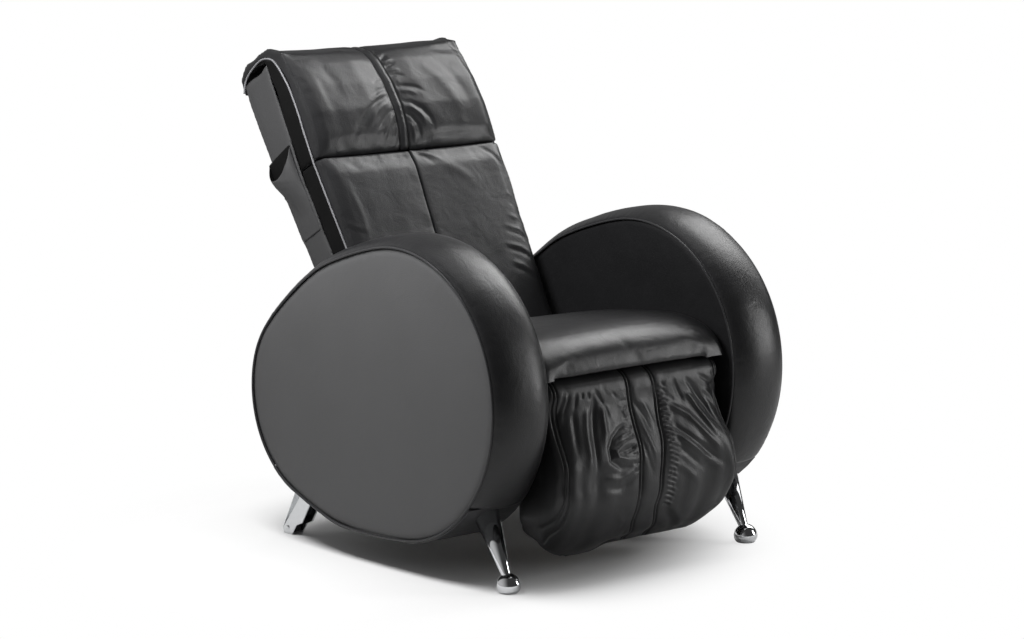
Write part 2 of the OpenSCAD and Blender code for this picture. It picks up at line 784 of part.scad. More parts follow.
module back_shell() {
    function section(inset) = [
        [shell_front, 0], [shell_rear_low - inset, 0], [shell_rear_high - inset, shell_rear_top - inset],
        [shell_front, shell_top - inset]
    ];
    color(leather_face) in_back() difference() {
        intersection() {
            side_plate(-300, 300) polygon(section(0));
            translate([0, 100, 0]) rotate([90, 0, 0]) linear_extrude(200) back_face(0, shell_top);
        }
        intersection() {
            side_plate(-300, 300) translate([0, -1]) polygon([
                [shell_front - 1, 0], [shell_rear_low - shell_wall, 0],
                [shell_rear_high - shell_wall, shell_rear_top - shell_wall],
                [shell_front - 1, shell_top - shell_wall]
            ]);
            translate([0, 100, -1]) rotate([90, 0, 0]) linear_extrude(200) back_face(shell_wall, shell_top);
        }
        x_rod(pin_d + 8, -300, 300);
        translate([recline_rod_x - 10, 0, -1]) cube([20, 40, 26]);
    }
}

// Depth of a pad's front at a place across and up the backrest
function groove(x, width, depth) = depth * exp(-pow(x / width, 2));
function crown(x, w) = pow(max(1 - pow(x / w, 4), 0), 0.6);
pad_levels = [-1, -0.985, -0.9, -0.62, -0.52, -0.3, -0.05, 0, 0.05, 0.3, 0.52, 0.62, 0.9, 0.985, 1];

module lower_back_pad() {
    from = -25;
    to = head_seam - 1.5;
    heights = [from, from + 10, 30, 70, 150, 210, 270, 330, 380, 415, to - 5, to];
    swell = [-4, 6, 12, 13, 13, 13, 13, 14, 15, 13, 9, 3];
    groove_depth = [9, 9, 9, 9, 9, 9, 9, 9, 9, 9, 6, 4];
    color(leather) in_back() quilt(
        [for (k = [0 : 11]) [
            for (u = -pad_levels)
                let (s = heights[k], x = u * back_w(s), edge = abs(u) == 1 ? 5 : 0)
                [x, pad_front - swell[k] * crown(u, 1) + groove(x, 9, groove_depth[k]) + edge, s]
        ]],
        [for (k = [0 : 11]) [
            for (u = -pad_levels)
                let (s = heights[k])
                [u * back_w(s), abs(u) < recess_share && k > 2 ? recess_depth : shell_front - soft_gap, s]
        ]]
    );
}

head_outer = [
    [-102, 436.5], [-112, 445], [-121, 482], [-126, 530], [-121, 590], [-107, 645], [-87, 686],
    [-58, 712], [-20, 716], [25, 702], [58, 674], [65, 640]
];
head_inner = [
    [-35.3, 436.5], [-35.3, 446], [-35.3, 482], [-35.3, 530], [-35.3, 590], [-35.3, 640], [-35.3, 672],
    [-35.3, 690], [-2, 692], [32, 676], [57.6, 656], [57.6, 640]
];

module head_pad() {
    last = len(head_outer) - 1;
    color(leather) in_back() quilt(
        [for (k = [0 : last]) [
            for (u = -pad_levels)
                let (p = head_outer[k], x = u * back_w(min(p[1], shell_top)), on_front = k < 7 ? 1 : 0,
                    fall = (1 - crown(u, 1)) * (pad_front - p[0]) * 0.9 + groove(abs(x) - 12, 5, 6))
                [x, p[0] + on_front * fall, p[1]]
        ]],
        [for (k = [0 : last]) [
            for (u = -pad_levels)
                let (p = head_inner[k], x = u * back_w(min(p[1], shell_top)))
                [x, abs(u) < recess_share && k < 5 ? recess_depth : p[0], p[1]]
        ]]
    );
}

module back_piping() {
    path = concat([for (s = [-20 : 65 : 435]) [pad_front, s]], [for (k = [2 : len(head_outer) - 1])
        [k < 7 ? max(pad_front, head_outer[k][0]) : head_outer[k][0], head_outer[k][1]]]);
    color([0.3, 0.3, 0.31]) in_back() for (left = [true, false]) on_side(left) loft([
        for (k = [0 : len(path) - 1])
            let (a = path[max(k - 1, 0)], b = path[min(k + 1, len(path) - 1)], along = (b - a) / norm(b - a),
                across = [along[1], -along[0]], w = back_w(min(path[k][1], shell_top)) + piping_r + soft_gap)
            [for (t = [0 : 72 : 359])
                let (q = path[k] + piping_r * cos(t) * across) [w + piping_r * sin(t), q[0], q[1]]]
    ]);
}

pocket_low = 310;
pocket_top = 500;
pocket_front = -30;
pocket_rear = 38;
pocket_depth = 24;
pocket_wall_t = 1.8;
pocket_gap = 0.8;

// Ring of the pouch at a share of its height; the mouth dips and falls rearward between its ends
function pocket_ring(v, inset, top) =
    let (steps = 8, front = pocket_front + 2.5 * inset, rear = pocket_rear - 2.5 * inset)
    let (t = function (k) front + (rear - front) * k / steps)
    let (mouth = function (k) top - 45 * k / steps)
    let (up = function (k, dip) pocket_low + (mouth(k) - dip * sin(180 * k / steps) - pocket_low) * v)
    let (swell = (pocket_depth - 2 * inset) * (0.3 + 0.7 * sin(90 * v)))
    concat(
        [for (k = [0 : steps]) let (s = up(k, 0)) [back_w(s) + pocket_gap + inset, t(k), s]],
        [for (k = [steps : -1 : 0]) let (s = up(k, 14))
            [back_w(s) + pocket_gap + inset + 1 + swell * pow(sin(180 * k / steps), 0.7), t(k), s]]
    );

module remote_pocket() {
    color(leather_face) in_back() mirror([1, 0, 0]) difference() {
        loft([for (v = [0, 0.15, 0.4, 0.7, 1]) pocket_ring(v, 0, pocket_top)]);
        loft([for (v = [0.06, 0.15, 0.4, 0.7, 1.02]) pocket_ring(v, pocket_wall_t, pocket_top)]);
    }
}

module guide_rods() {
    from = lower_tube + back_tube_h;
    color(chrome) in_back() for (k = [-1, 1])
        translate([k * rod_x, 0, from]) cylinder(d = rod_d, h = upper_tube - 5 - from);
}

screw_from = lower_tube + back_tube_h + 3;
screw_to = upper_tube - 8;

module lift_gearmotor() {
    low = lower_tube + back_tube_h;
    color(plastic) in_back() {
        difference() {
            union() {
                translate([-26, -18, low]) cube([52, 30, 40]);
                x_rod(34, 26, 96, [-3, low + 20]);
            }
            translate([0, 0, low + 2]) cylinder(d = screw_d + 2 * run_gap, h = 60);
        }
        difference() {
            translate([-20, -14, upper_tube - 20]) cube([40, 27, 15]);
            translate([0, 0, upper_tube - 30]) cylinder(d = screw_d + 2 * run_gap, h = 23);
        }
    }
}

module lead_screw() {
    color(chrome) in_back() translate([0, 0, screw_from]) cylinder(d = screw_d, h = screw_to - screw_from);
}

module at_carriage() {
    in_back() translate([0, 0, carriage_s]) children();
}

module carriage_frame() {
    half_s = 55;
    window_s = 40;
    color(steel) at_carriage() difference() {
        union() {
            translate([-150, -20, -half_s]) cube([300, 6, 2 * half_s]);
            for (k = [-1, 1]) translate([k * rod_x - 15, -15, -half_s]) cube([30, 29, 2 * half_s]);
            translate([-18, -15, -25]) cube([36, 29, 50]);
        }
        for (k = [-1, 1]) {
            translate([k * rod_x, 0, -half_s - 1])
                cylinder(d = rod_d + 2 * run_gap, h = 2 * half_s + 2);
            translate([k * massage_x - hub_w, -30, -window_s]) cube([2 * hub_w, 20, 2 * window_s]);
        }
        translate([0, 0, -30]) cylinder(d = screw_d + 2 * run_gap, h = 60);
    }
}

module knead_gearmotor() {
    color(plastic) at_carriage() difference() {
        union() {
            translate([-42, -64, -40]) cube([84, 44, 84]);
            translate([0, knead_t, -125]) cylinder(d = 44, h = 86);
        }
        x_rod(shaft_d + 2 * run_gap, -43, 43, [knead_t, 0]);
    }
}

module knead_shaft() {
    color(chrome) at_carriage() {
        x_rod(shaft_d, -massage_x - 12, massage_x + 12, [knead_t, 0]);
        for (k = [-1, 1])
            x_rod(hub_d, k * massage_x - hub_w / 2, k * massage_x + hub_w / 2, [knead_t, k * knead_e]);
    }
}

// Massage arm round its eccentric hub, with an axle for a ball at each end
module massage_arm(shift) {
    color([0.75, 0.73, 0.68]) at_carriage() translate([0, 0, shift]) {
        difference() {
            side_plate(massage_x - massage_arm_t / 2, massage_x + massage_arm_t / 2) union() {
                circle_at([knead_t, 0], hub_d + 18);
                for (k = [-1, 1]) bar([knead_t, 0], [axle_t, k * ball_s], 22);
            }
            x_rod(hub_d + 2 * run_gap, massage_x - hub_w, massage_x + hub_w, [knead_t, 0]);
        }
        for (k = [-1, 1]) translate([0, axle_t, k * ball_s])
            x_rod(ball_axle_d, massage_x + massage_arm_t / 2, massage_x + ball_offset + 20);
    }
}

module massage_ball(shift, place) {
    r = massage_ball_d / 2;
    bore_r = ball_axle_d / 2 + run_gap;
    edge = 42;
    color([0.12, 0.1, 0.1]) at_carriage()
        translate([massage_x + ball_offset, axle_t, shift + place * ball_s]) rotate([0, 90, 0])
            rotate_extrude() polygon(concat(
                [[bore_r, -r * sin(edge)]],
                [for (a = [-edge : 7 : edge]) [r * cos(a), r * sin(a)]],
                [[bore_r, r * sin(edge)]]
            ));
}

on_side(false) arm_carcass();  // right_arm_carcass
on_side(false) arm_base_plate();  // right_arm_base_plate
on_side(false) arm_band();  // right_arm_band
on_side(false) arm_outer_panel();  // right_arm_outer_panel
on_side(false) arm_inner_panel();  // right_arm_inner_panel
on_side(true) arm_carcass();  // left_arm_carcass
on_side(true) arm_base_plate();  // left_arm_base_plate
on_side(true) arm_band();  // left_arm_band
on_side(true) arm_outer_panel();  // left_arm_outer_panel
on_side(true) arm_inner_panel();  // left_arm_inner_panel
arm_piping();
on_side(false) front_leg();  // right_front_leg
on_side(true) front_leg();  // left_front_leg
on_side(false) ball_foot();  // right_ball_foot
on_side(true) ball_foot();  // left_ball_foot
on_side(false) rear_leg();  // right_rear_leg
on_side(true) rear_leg();  // left_rear_leg
on_side(false) transport_wheel();  // right_wheel
on_side(true) transport_wheel();  // left_wheel
on_side(false) side_rail();  // right_side_rail
on_side(true) side_rail();  // left_side_rail
base_cross(front_cross_y);  // front_cross_tube
base_cross(middle_cross_y);  // middle_cross_tube
base_cross(rear_cross_y);  // rear_cross_tube
arm_bolts();
seat_deck();
seat_cushion();
recline_brackets();
legrest_brackets();
legrest_actuator();
recline_actuator();
control_box();
rear_cover();
power_inlet();
power_rocker();
legrest_push_rod();
recline_push_rod();
legrest_frame();
legrest_board();
legrest_pad();
back_side_bars();
back_cross_tubes();
recline_lever_plate();
back_shell();
lower_back_pad();
head_pad();
back_piping();
remote_pocket();
guide_rods();
lift_gearmotor();
carriage_frame();
knead_gearmotor();
lead_screw();
knead_shaft();
mirror([1, 0, 0]) massage_arm(-knead_e);  // right_massage_arm
massage_arm(knead_e);  // left_massage_arm
mirror([1, 0, 0]) massage_ball(-knead_e, 1);  // right_upper_ball
mirror([1, 0, 0]) massage_ball(-knead_e, -1);  // right_lower_ball
massage_ball(knead_e, 1);  // left_upper_ball
massage_ball(knead_e, -1);  // left_lower_ball
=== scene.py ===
from bisect import bisect_right
from math import cos, exp, pi, radians, sin, sqrt

import bmesh
import bpy
from mathutils import Matrix, Vector, noise


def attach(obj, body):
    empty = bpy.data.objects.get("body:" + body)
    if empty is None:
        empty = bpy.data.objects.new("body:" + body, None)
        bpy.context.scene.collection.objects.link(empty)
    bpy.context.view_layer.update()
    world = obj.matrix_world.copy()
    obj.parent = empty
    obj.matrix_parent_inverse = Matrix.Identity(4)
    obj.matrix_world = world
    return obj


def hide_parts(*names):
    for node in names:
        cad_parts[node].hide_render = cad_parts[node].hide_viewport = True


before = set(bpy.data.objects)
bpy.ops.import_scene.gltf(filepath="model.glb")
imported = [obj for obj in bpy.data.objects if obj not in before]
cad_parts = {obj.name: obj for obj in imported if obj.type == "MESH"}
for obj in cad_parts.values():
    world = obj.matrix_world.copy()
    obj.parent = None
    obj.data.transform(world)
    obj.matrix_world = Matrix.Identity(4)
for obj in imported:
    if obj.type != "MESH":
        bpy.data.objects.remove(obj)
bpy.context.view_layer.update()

# ---------------------------------------------------------------- Arm bands
# The band is a strip of black leather over foam, glued round the rim of the arm's plywood carcass
# and sewn to both side panels. Its crown is full, and it puckers a little where the thread pulls.


class Value:
    """A shader value. Sums, differences and products on it add their Math nodes."""

    def __init__(self, nodes, socket):
        self.nodes, self.socket = nodes, socket

    def worked(self, operation, a, b):
        return self.nodes.node("Math", {"operation": operation}, {0: a, 1: b})

    def __add__(self, other):
        return self.worked("ADD", self, other)

    def __radd__(self, other):
        return self.worked("ADD", other, self)

    def __sub__(self, other):
        return self.worked("SUBTRACT", self, other)

    def __rsub__(self, other):
        return self.worked("SUBTRACT", other, self)

    def __mul__(self, other):
        return self.worked("MULTIPLY", self, other)

    def __rmul__(self, other):
        return self.worked("MULTIPLY", other, self)


class Nodes:
    """The node tree of a material or of the studio's surroundings."""

    def __init__(self, tree):
        self.tree = tree

    def fill(self, socket, value):
        if isinstance(value, Value):
            self.tree.links.new(value.socket, socket)
        else:
            socket.default_value = value

    def node(self, kind, settings=None, inputs=None, output=0):
        """Adds a node: its settings are set first, then its sockets. Returns one of its outputs."""
        node = self.tree.nodes.new("ShaderNode" + kind)
        for name, value in (settings or {}).items():
            setattr(node, name, value)
        for name, value in (inputs or {}).items():
            self.fill(node.inputs[name], value)
        return Value(self, node.outputs[output])


class Finish(Nodes):
    """A material and its shader, whose constants are given with _ for each space."""

    def __init__(self, name, **constants):
        self.material = bpy.data.materials.new(name)
        self.material.use_nodes = True
        super().__init__(self.material.node_tree)
        self.shader = self.tree.nodes["Principled BSDF"]
        self.feed(**constants)

    def feed(self, **values):
        for socket, value in values.items():
            self.fill(self.shader.inputs[socket.replace("_", " ")], value)

    def where(self):
        return self.node("TexCoord", output="Object")

    def noise(self, scale, detail=2.0, distortion=0.0, vector=None):
        return self.node("TexNoise", {}, {
            "Vector": vector or self.where(), "Scale": scale,
            "Detail": detail, "Distortion": distortion})

    def mixed(self, factor, a, b):
        return self.node("Mix", {"data_type": "RGBA"}, {"Factor": factor, 6: a, 7: b}, output=2)

    def bump(self, height, distance, strength=1.0, under=None):
        inputs = {"Height": height, "Distance": distance, "Strength": strength}
        if under:
            inputs["Normal"] = under
        return self.node("Bump", {}, inputs)

    def coat(self, piece):
        """The piece is made of this finish alone."""
        piece.data.materials.clear()
        piece.data.materials.append(self.material)


GRAIN = 0.00022


def leather(name, dark, light, roughness, crease=0.0012, crease_scale=26):
    """Corrected-grain leather: fine pebbles, soft creases, and a polish that varies by hand."""
    finish = Finish(name, Specular_IOR_Level=0.42)
    cells = finish.node("TexVoronoi", {"feature": "SMOOTH_F1"}, {
        "Vector": finish.where(), "Scale": 430.0, "Smoothness": 0.4})
    fine = finish.noise(1500.0, 3.0)
    cloud = finish.noise(7.0, 4.0, 0.3)
    rub = finish.noise(38.0, 5.0, 0.8)
    soft = finish.noise(crease_scale, 4.0, 1.2)
    pebbled = finish.bump(cells * 0.8 + fine * 0.35, GRAIN, 0.8)
    finish.feed(
        Base_Color=finish.mixed(cloud * 0.7 + rub * 0.3, dark, light),
        Roughness=(cloud - 0.5) * 0.10 + (rub - 0.5) * 0.12 + (fine - 0.5) * 0.08 + roughness,
        Normal=finish.bump(soft, crease, 0.6, pebbled),
    )
    return finish


black_leather = leather(
    "black_leather", (0.008, 0.008, 0.0085, 1), (0.018, 0.018, 0.019, 1), 0.37)
SIDES = (("left", 1), ("right", -1))
WELD = 0.00002


def linked(name, bm, finish=None, smooth=True):
    """A finished bmesh as an object at the origin."""
    mesh = bpy.data.meshes.new(name)
    bm.to_mesh(mesh)
    bm.free()
    mesh.polygons.foreach_set("use_smooth", [smooth] * len(mesh.polygons))
    piece = bpy.data.objects.new(name, mesh)
    bpy.context.scene.collection.objects.link(piece)
    if finish:
        finish.coat(piece)
    return piece


def grid_mesh(across, along, place):
    """A grid laid out by place(u, v), welded where edges or poles meet, closed where it ends."""
    bm = bmesh.new()
    bmesh.ops.create_grid(bm, x_segments=across, y_segments=along, size=0.5)
    for vert in bm.verts:
        vert.co = place(vert.co.x + 0.5, vert.co.y + 0.5)
    bmesh.ops.remove_doubles(bm, verts=bm.verts, dist=WELD)
    bmesh.ops.holes_fill(bm, edges=bm.edges, sides=0)
    bmesh.ops.recalc_face_normals(bm, faces=bm.faces)
    return bm


def mixed(a, b, share):
    return a + (b - a) * share


def eased(value, low, high):
    """From 0 below low to 1 above high, without a corner."""
    share = min(max((value - low) / (high - low), 0.0), 1.0)
    return share * share * (3 - 2 * share)


def ripple(x, y, z, size):
    """Smooth noise of about -1 to 1, with features of a size in metres."""
    return noise.noise(Vector((x, y, z)) / size)


def along_path(points, count, closed=False):
    """Evenly spaced points along a path of equal-length tuples."""
    loop = list(points) + [points[0]] if closed else list(points)
    reach = [0.0]
    for a, b in zip(loop, loop[1:]):
        reach.append(reach[-1] + sqrt(sum((p - q) ** 2 for p, q in zip(a[:3], b[:3]))))
    steps = count if closed else count - 1
    spaced = []
    for k in range(count):
        target = reach[-1] * k / steps
        i = min(bisect_right(reach, target), len(loop) - 1)
        share = (target - reach[i - 1]) / max(reach[i] - reach[i - 1], 1e-9)
        spaced.append(tuple(mixed(p, q, share) for p, q in zip(loop[i - 1], loop[i])))
    return spaced


ARM_Y, ARM_Z = -0.0967, 0.3325
# the rounds that the rim is drawn about: Y, Z and radius
RIM_CIRCLES = (
    (-0.180, 0.355, 0.285), (0.070, 0.310, 0.210), (-0.030, 0.300, 0.233), (-0.040, 0.360, 0.238))
RIM_FINE = 1080


def rim_reach(angle):
    """How far an arm's rim reaches from its middle in one direction, with its corners eased."""
    total = weights = 0.0
    for k in range(-6, 7):
        turned = angle + radians(1.6 * k)
        weight = exp(-(k / 3.4) ** 2)
        reach = max(
            (y - ARM_Y) * cos(turned) + (z - ARM_Z) * sin(turned) + r for y, z, r in RIM_CIRCLES)
        total, weights = total + reach * weight, weights + weight
    around = (angle - radians(47) + pi) % (2 * pi) - pi
    return total / weights - 0.0035 * exp(-(around / radians(18)) ** 2)


def arm_rim(start, end, count, closed=False):
    """Points (y, z) of an arm's rim between two outward angles, each with its outward direction."""
    fine = []
    for k in range(RIM_FINE + 1):
        angle = radians(mixed(start, end, k / RIM_FINE))
        away_y, away_z = cos(angle), sin(angle)
        reach = rim_reach(angle)
        lean = (rim_reach(angle + 0.002) - rim_reach(angle - 0.002)) / 0.004
        y = ARM_Y + reach * away_y - lean * away_z
        z = ARM_Z + reach * away_z + lean * away_y
        fine.append((y, z, 0.0, away_y, away_z))
    return [(y, z, away_y, away_z) for y, z, _, away_y, away_z in along_path(fine, count, closed)]


def arm_band(side):
    """Foam under leather, 135 mm wide, with a flat base on the carcass."""
    inner, half, crown, base = 0.250, 0.0675, 0.022, 0.0004
    length, steps, over = 1.66, 360, 0.86
    rim = arm_rim(-47.4, 221.4, steps + 1)

    def place(u, v):
        y, z, away_y, away_z = rim[round(v * steps)]
        run = v * length
        end = eased(min(v, 1 - v) * length, 0.0, 0.016)
        if u < over:
            t = -cos(pi * u / over)
            from_seam = half * (1 - abs(t))
            swell = max(1 - abs(t) ** 2.4, 0.0) ** 0.62
            pull = exp(-from_seam / 0.012) * (1 - exp(-from_seam / 0.0015))
            pucker = ripple(run, side, 0.0, 0.011) * 0.0011 + ripple(run, side, 4.0, 0.030) * 0.0010
            wave = ripple(run, t * 0.06, side * 3.0, 0.110) * 0.0016
            wave += ripple(run, t * 0.05, side, 0.045) * 0.0005
            height = 0.0008 + crown * swell * mixed(0.22, 1.0, end) + pull * pucker + wave * swell
        else:
            t = mixed(1.0, -1.0, (u - over) / (1 - over))
            height = base
        x = side * (inner + half * (1 + t))
        return Vector((x, y + away_y * height, z + away_z * height))

    return grid_mesh(56, steps, place)


for name, side in SIDES:
    band = linked(name + "_band", arm_band(side), black_leather)
    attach(band, "base")
    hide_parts(name + "_arm_band")

# ------------------------------------------------------------- Outer panels
# Each outer panel is a large round of plain leather over a thin foam pad, pulled over the edge of
# the board and sewn to the band. It is slightly domed and rolls away to the seam all round.

# The outer panels' leather is painted mid-grey, lighter than the black leather, for the broad light
# that falls on their outer faces.
lit_panel_leather = leather(
    "lit_panel_leather", (0.072, 0.072, 0.073, 1), (0.098, 0.098, 0.100, 1), 0.54, crease=0.0006)
PANEL_SAG = 0.0008


def arm_panel(side, face, crown, roll_width, back):
    """A domed round whose face is at a distance out along X. It bulges by the crown, rolls away to
    the seam over the roll's width, and closes at its back."""
    roll_depth, length, steps, front = 0.0045, 2.09, 300, 0.9
    rim = arm_rim(0, 360, steps, closed=True)
    out = 1 if abs(back) < abs(face) else -1

    def place(u, v):
        y, z, _, _ = rim[round(v * steps) % steps]
        radius = sqrt((y - ARM_Y) ** 2 + (z - ARM_Z) ** 2)
        if u < front:
            share = 1 - (1 - u / front) ** 1.6
            inside = radius * (1 - share)
            rise = crown * (1 - share ** 4)
            fall = max(roll_width - inside, 0) / roll_width
            rise -= roll_depth * (1 - sqrt(max(1 - fall * fall, 0.0)))
            run = v * length
            tug = exp(-inside / 0.014) * (1 - exp(-inside / 0.002))
            tug *= eased(min(v, 1 - v), 0.0, 0.03)
            rise += tug * (ripple(run, side, 9.0, 0.012) + ripple(run, side, 7.0, 0.035)) * 0.0006
            x = face + out * rise
        else:
            share = mixed(1.0, 0.0, (u - front) / (1 - front))
            x = back
        share *= (radius - 0.0004) / radius
        at_y, at_z = mixed(ARM_Y, y, share), mixed(ARM_Z, z, share)
        if u < front:
            x += out * PANEL_SAG * ripple(at_y, at_z, side * 2.0, 0.160) * (1 - share ** 6)
        return Vector((side * x, at_y, at_z))

    return grid_mesh(60, steps, place)


for name, side in SIDES:
    panel = arm_panel(side, face=0.3855, crown=0.0045, roll_width=0.018, back=0.3735)
    panel = linked(name + "_outer_panel", panel, lit_panel_leather)
    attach(panel, "base")
    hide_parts(name + "_arm_outer_panel")

# ------------------------------------------------------------- Inner panels
# The inner panels face the seat. They are black leather over thinner foam, sewn to the band in the
# same way.

for name, side in SIDES:
    panel = arm_panel(side, face=0.2505, crown=0.0025, roll_width=0.014, back=0.2558)
    panel = linked(name + "_inner_panel", panel, black_leather)
    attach(panel, "base")
    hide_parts(name + "_arm_inner_panel")

# -------------------------------------------------------------- Arm piping
# A thin welt, which is a strip of leather wrapped round a cord, is sewn into both seams of each
# arm.

welt_leather = leather(
    "welt_leather", (0.022, 0.022, 0.023, 1), (0.040, 0.040, 0.042, 1), 0.36, crease=0.0002)


def cord_ring(centres, radius, closed):
    """A round tube about (point, side direction, outward direction) stations."""
    steps = len(centres) if closed else len(centres) - 1

    def place(u, v):
        point, aside, away = centres[round(v * steps) % len(centres)]
        turn = 2 * pi * u
        return point + (aside * cos(turn) + away * sin(turn)) * radius

    return grid_mesh(12, steps, place)


def joined(whole, part):
    """Adds one bmesh to another."""
    mesh = bpy.data.meshes.new("part")
    part.to_mesh(mesh)
    part.free()
    whole.from_mesh(mesh)
    bpy.data.meshes.remove(mesh)


whole = bmesh.new()
for _, side in SIDES:
    for x in (0.3862, 0.2488):
        stations = []
        for y, z, away_y, away_z in arm_rim(0, 360, 420, closed=True):
            away = Vector((0, away_y, away_z))
            point = Vector((side * x, y, z)) + away * 0.0006
            stations.append((point, Vector((1, 0, 0)), away))
        joined(whole, cord_ring(stations, radius=0.0022, closed=True))
bmesh.ops.recalc_face_normals(whole, faces=whole.faces)
piping = linked("arm_welts", whole, welt_leather)
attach(piping, "base")
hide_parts("arm_piping")

# -------------------------------------------------------------- Front legs
# The front legs are plain cones of chromed steel tube, wide where they are screwed under the arms.
# Each ends in a chromed ball foot with a flat base.

chrome = Finish("chrome", Metallic=1.0, Specular_IOR_Level=0.5)
wear = chrome.noise(60.0, 6.0, 0.4)
haze = chrome.noise(9.0, 3.0)
chrome.feed(
    Base_Color=chrome.mixed(haze, (0.74, 0.75, 0.77, 1), (0.84, 0.85, 0.86, 1)),
    Roughness=wear * 0.05 + haze * 0.05 + 0.03,
    Normal=chrome.bump(chrome.noise(500.0, 2.0), 0.00002, 0.5),
)

LEG_X = 0.320
# an arm's underside over each leg: the middle and radius of its round, in Y and Z
FRONT_ARC, REAR_ARC = (-0.180, 0.355, 0.291), (0.070, 0.310, 0.216)


def turned(profile, steps=96):
    """A solid of revolution about Z from (radius, height) points, closed on the axis."""
    bm = bmesh.new()
    verts = [bm.verts.new((radius, 0, height)) for radius, height in profile]
    edges = [bm.edges.new(pair) for pair in zip(verts, verts[1:])]
    bmesh.ops.spin(
        bm, geom=verts + edges, cent=(0, 0, 0), axis=(0, 0, 1), angle=2 * pi, steps=steps,
        use_merge=True)
    bmesh.ops.remove_doubles(bm, verts=bm.verts, dist=WELD)
    bmesh.ops.recalc_face_normals(bm, faces=bm.faces)
    return bm


def cut_to_arm(bm, circle, towards, inset):
    """Cuts off what is above the flat that touches an arm's underside in one direction."""
    y, z, r = circle
    away = (towards - Vector((towards.x, y, z))).normalized()
    at = Vector((towards.x, y, z)) + away * (r - inset)
    bmesh.ops.bisect_plane(
        bm, geom=bm.verts[:] + bm.edges[:] + bm.faces[:], plane_co=at, plane_no=-away,
        clear_outer=True)
    bmesh.ops.holes_fill(bm, edges=bm.edges, sides=0)
    bmesh.ops.recalc_face_normals(bm, faces=bm.faces)


for name, side in SIDES:
    low, high = Vector((side * LEG_X, -0.429, 0.031)), Vector((side * LEG_X, -0.345, 0.190))
    reach = (high - low).length
    cone = turned([
        (0, 0), (0.0086, 0), (0.0094, 0.0012), (0.0096, 0.004), (0.0330, reach), (0, reach)])
    bmesh.ops.rotate(cone, verts=cone.verts, matrix=Matrix.Rotation(-radians(27.85), 3, "X"))
    bmesh.ops.translate(cone, verts=cone.verts, vec=low)
    cut_to_arm(cone, FRONT_ARC, Vector((side * LEG_X, -0.366, 0.150)), inset=0.0018)
    leg = linked(name + "_leg_cone", cone, chrome)
    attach(leg, "base")
    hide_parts(name + "_front_leg")

# --------------------------------------------------------------- Ball feet
# A ball is screwed into the end of each front leg. It is turned from steel and chromed, and flat
# below on a thin hard glide.

BALL_RADIUS, BALL_MIDDLE = 0.0240, 0.0130
for name, side in SIDES:
    ball = [(0, 0.0), (0.0180, 0.0), (0.0192, 0.0010), (0.0216, 0.0040), (0.0233, 0.0085)]
    for angle in range(-6, 85, 6):
        radius, height = BALL_RADIUS * cos(radians(angle)), BALL_RADIUS * sin(radians(angle))
        ball.append((radius, BALL_MIDDLE + height))
    foot = turned(ball + [(0.0, BALL_MIDDLE + BALL_RADIUS)])
    bmesh.ops.translate(foot, verts=foot.verts, vec=(side * LEG_X, -0.435, 0))
    foot = linked(name + "_ball", foot, chrome)
    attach(foot, "base")
    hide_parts(name + "_ball_foot")

# ------------------------------------------------------- Rear legs and wheels
# The rear legs are folded from chromed sheet: two cheeks joined by a flange, with an axle through
# their lower ends. A hard black wheel turns on each axle, for moving the chair tipped back.


def worn(name, dark, light, broad, roughness, fine, relief, **constants):
    """A plain finish: broad noise varies its colour and polish, and fine noise is its relief.
    Roughness is its spread and least value, relief its depth and strength."""
    finish = Finish(name, **constants)
    wear = finish.noise(*broad)
    finish.feed(
        Base_Color=finish.mixed(wear, dark, light),
        Roughness=wear * roughness[0] + roughness[1],
        Normal=finish.bump(finish.noise(*fine), *relief),
    )
    return finish


satin_chrome = worn(
    "satin_chrome", dark=(0.62, 0.63, 0.64, 1), light=(0.76, 0.77, 0.78, 1),
    broad=(120.0, 5.0, 0.2), roughness=(0.12, 0.13), fine=(120.0, 5.0, 0.2), relief=(0.00005, 0.6),
    Metallic=1.0, Specular_IOR_Level=0.5)
tyre_rubber = worn(
    "tyre_rubber", dark=(0.018, 0.018, 0.018, 1), light=(0.050, 0.048, 0.046, 1),
    broad=(90.0, 5.0, 0.4), roughness=(0.25, 0.50), fine=(600.0, 3.0), relief=(0.0001, 0.6),
    Specular_IOR_Level=0.4)


def plate(outline, low, high):
    """A flat plate along X from its outline in Y and Z."""
    bm = bmesh.new()
    face = bm.faces.new([bm.verts.new((low, y, z)) for y, z in outline])
    grown = bmesh.ops.extrude_face_region(bm, geom=[face])
    moved = [item for item in grown["geom"] if isinstance(item, bmesh.types.BMVert)]
    bmesh.ops.translate(bm, verts=moved, vec=(high - low, 0, 0))
    bmesh.ops.recalc_face_normals(bm, faces=bm.faces)
    return bm


def softened(bm, width):
    """Rounds the sharp edges of folded sheet."""
    sharp = [
        edge for edge in bm.edges if edge.is_manifold and edge.calc_face_angle(0) > radians(30)]
    bmesh.ops.bevel(
        bm, geom=sharp, offset=width, offset_type="OFFSET", segments=2, profile=0.5,
        affect="EDGES", clamp_overlap=True, material=-1)


AXLE_Y, AXLE_Z = 0.2345, 0.0135


def on_axle(bm, side):
    """Turns a round piece from Z onto a wheel's axle."""
    bmesh.ops.rotate(bm, verts=bm.verts, matrix=Matrix.Rotation(pi / 2, 3, "Y"))
    bmesh.ops.translate(bm, verts=bm.verts, vec=(side * LEG_X, AXLE_Y, AXLE_Z))
    return bm


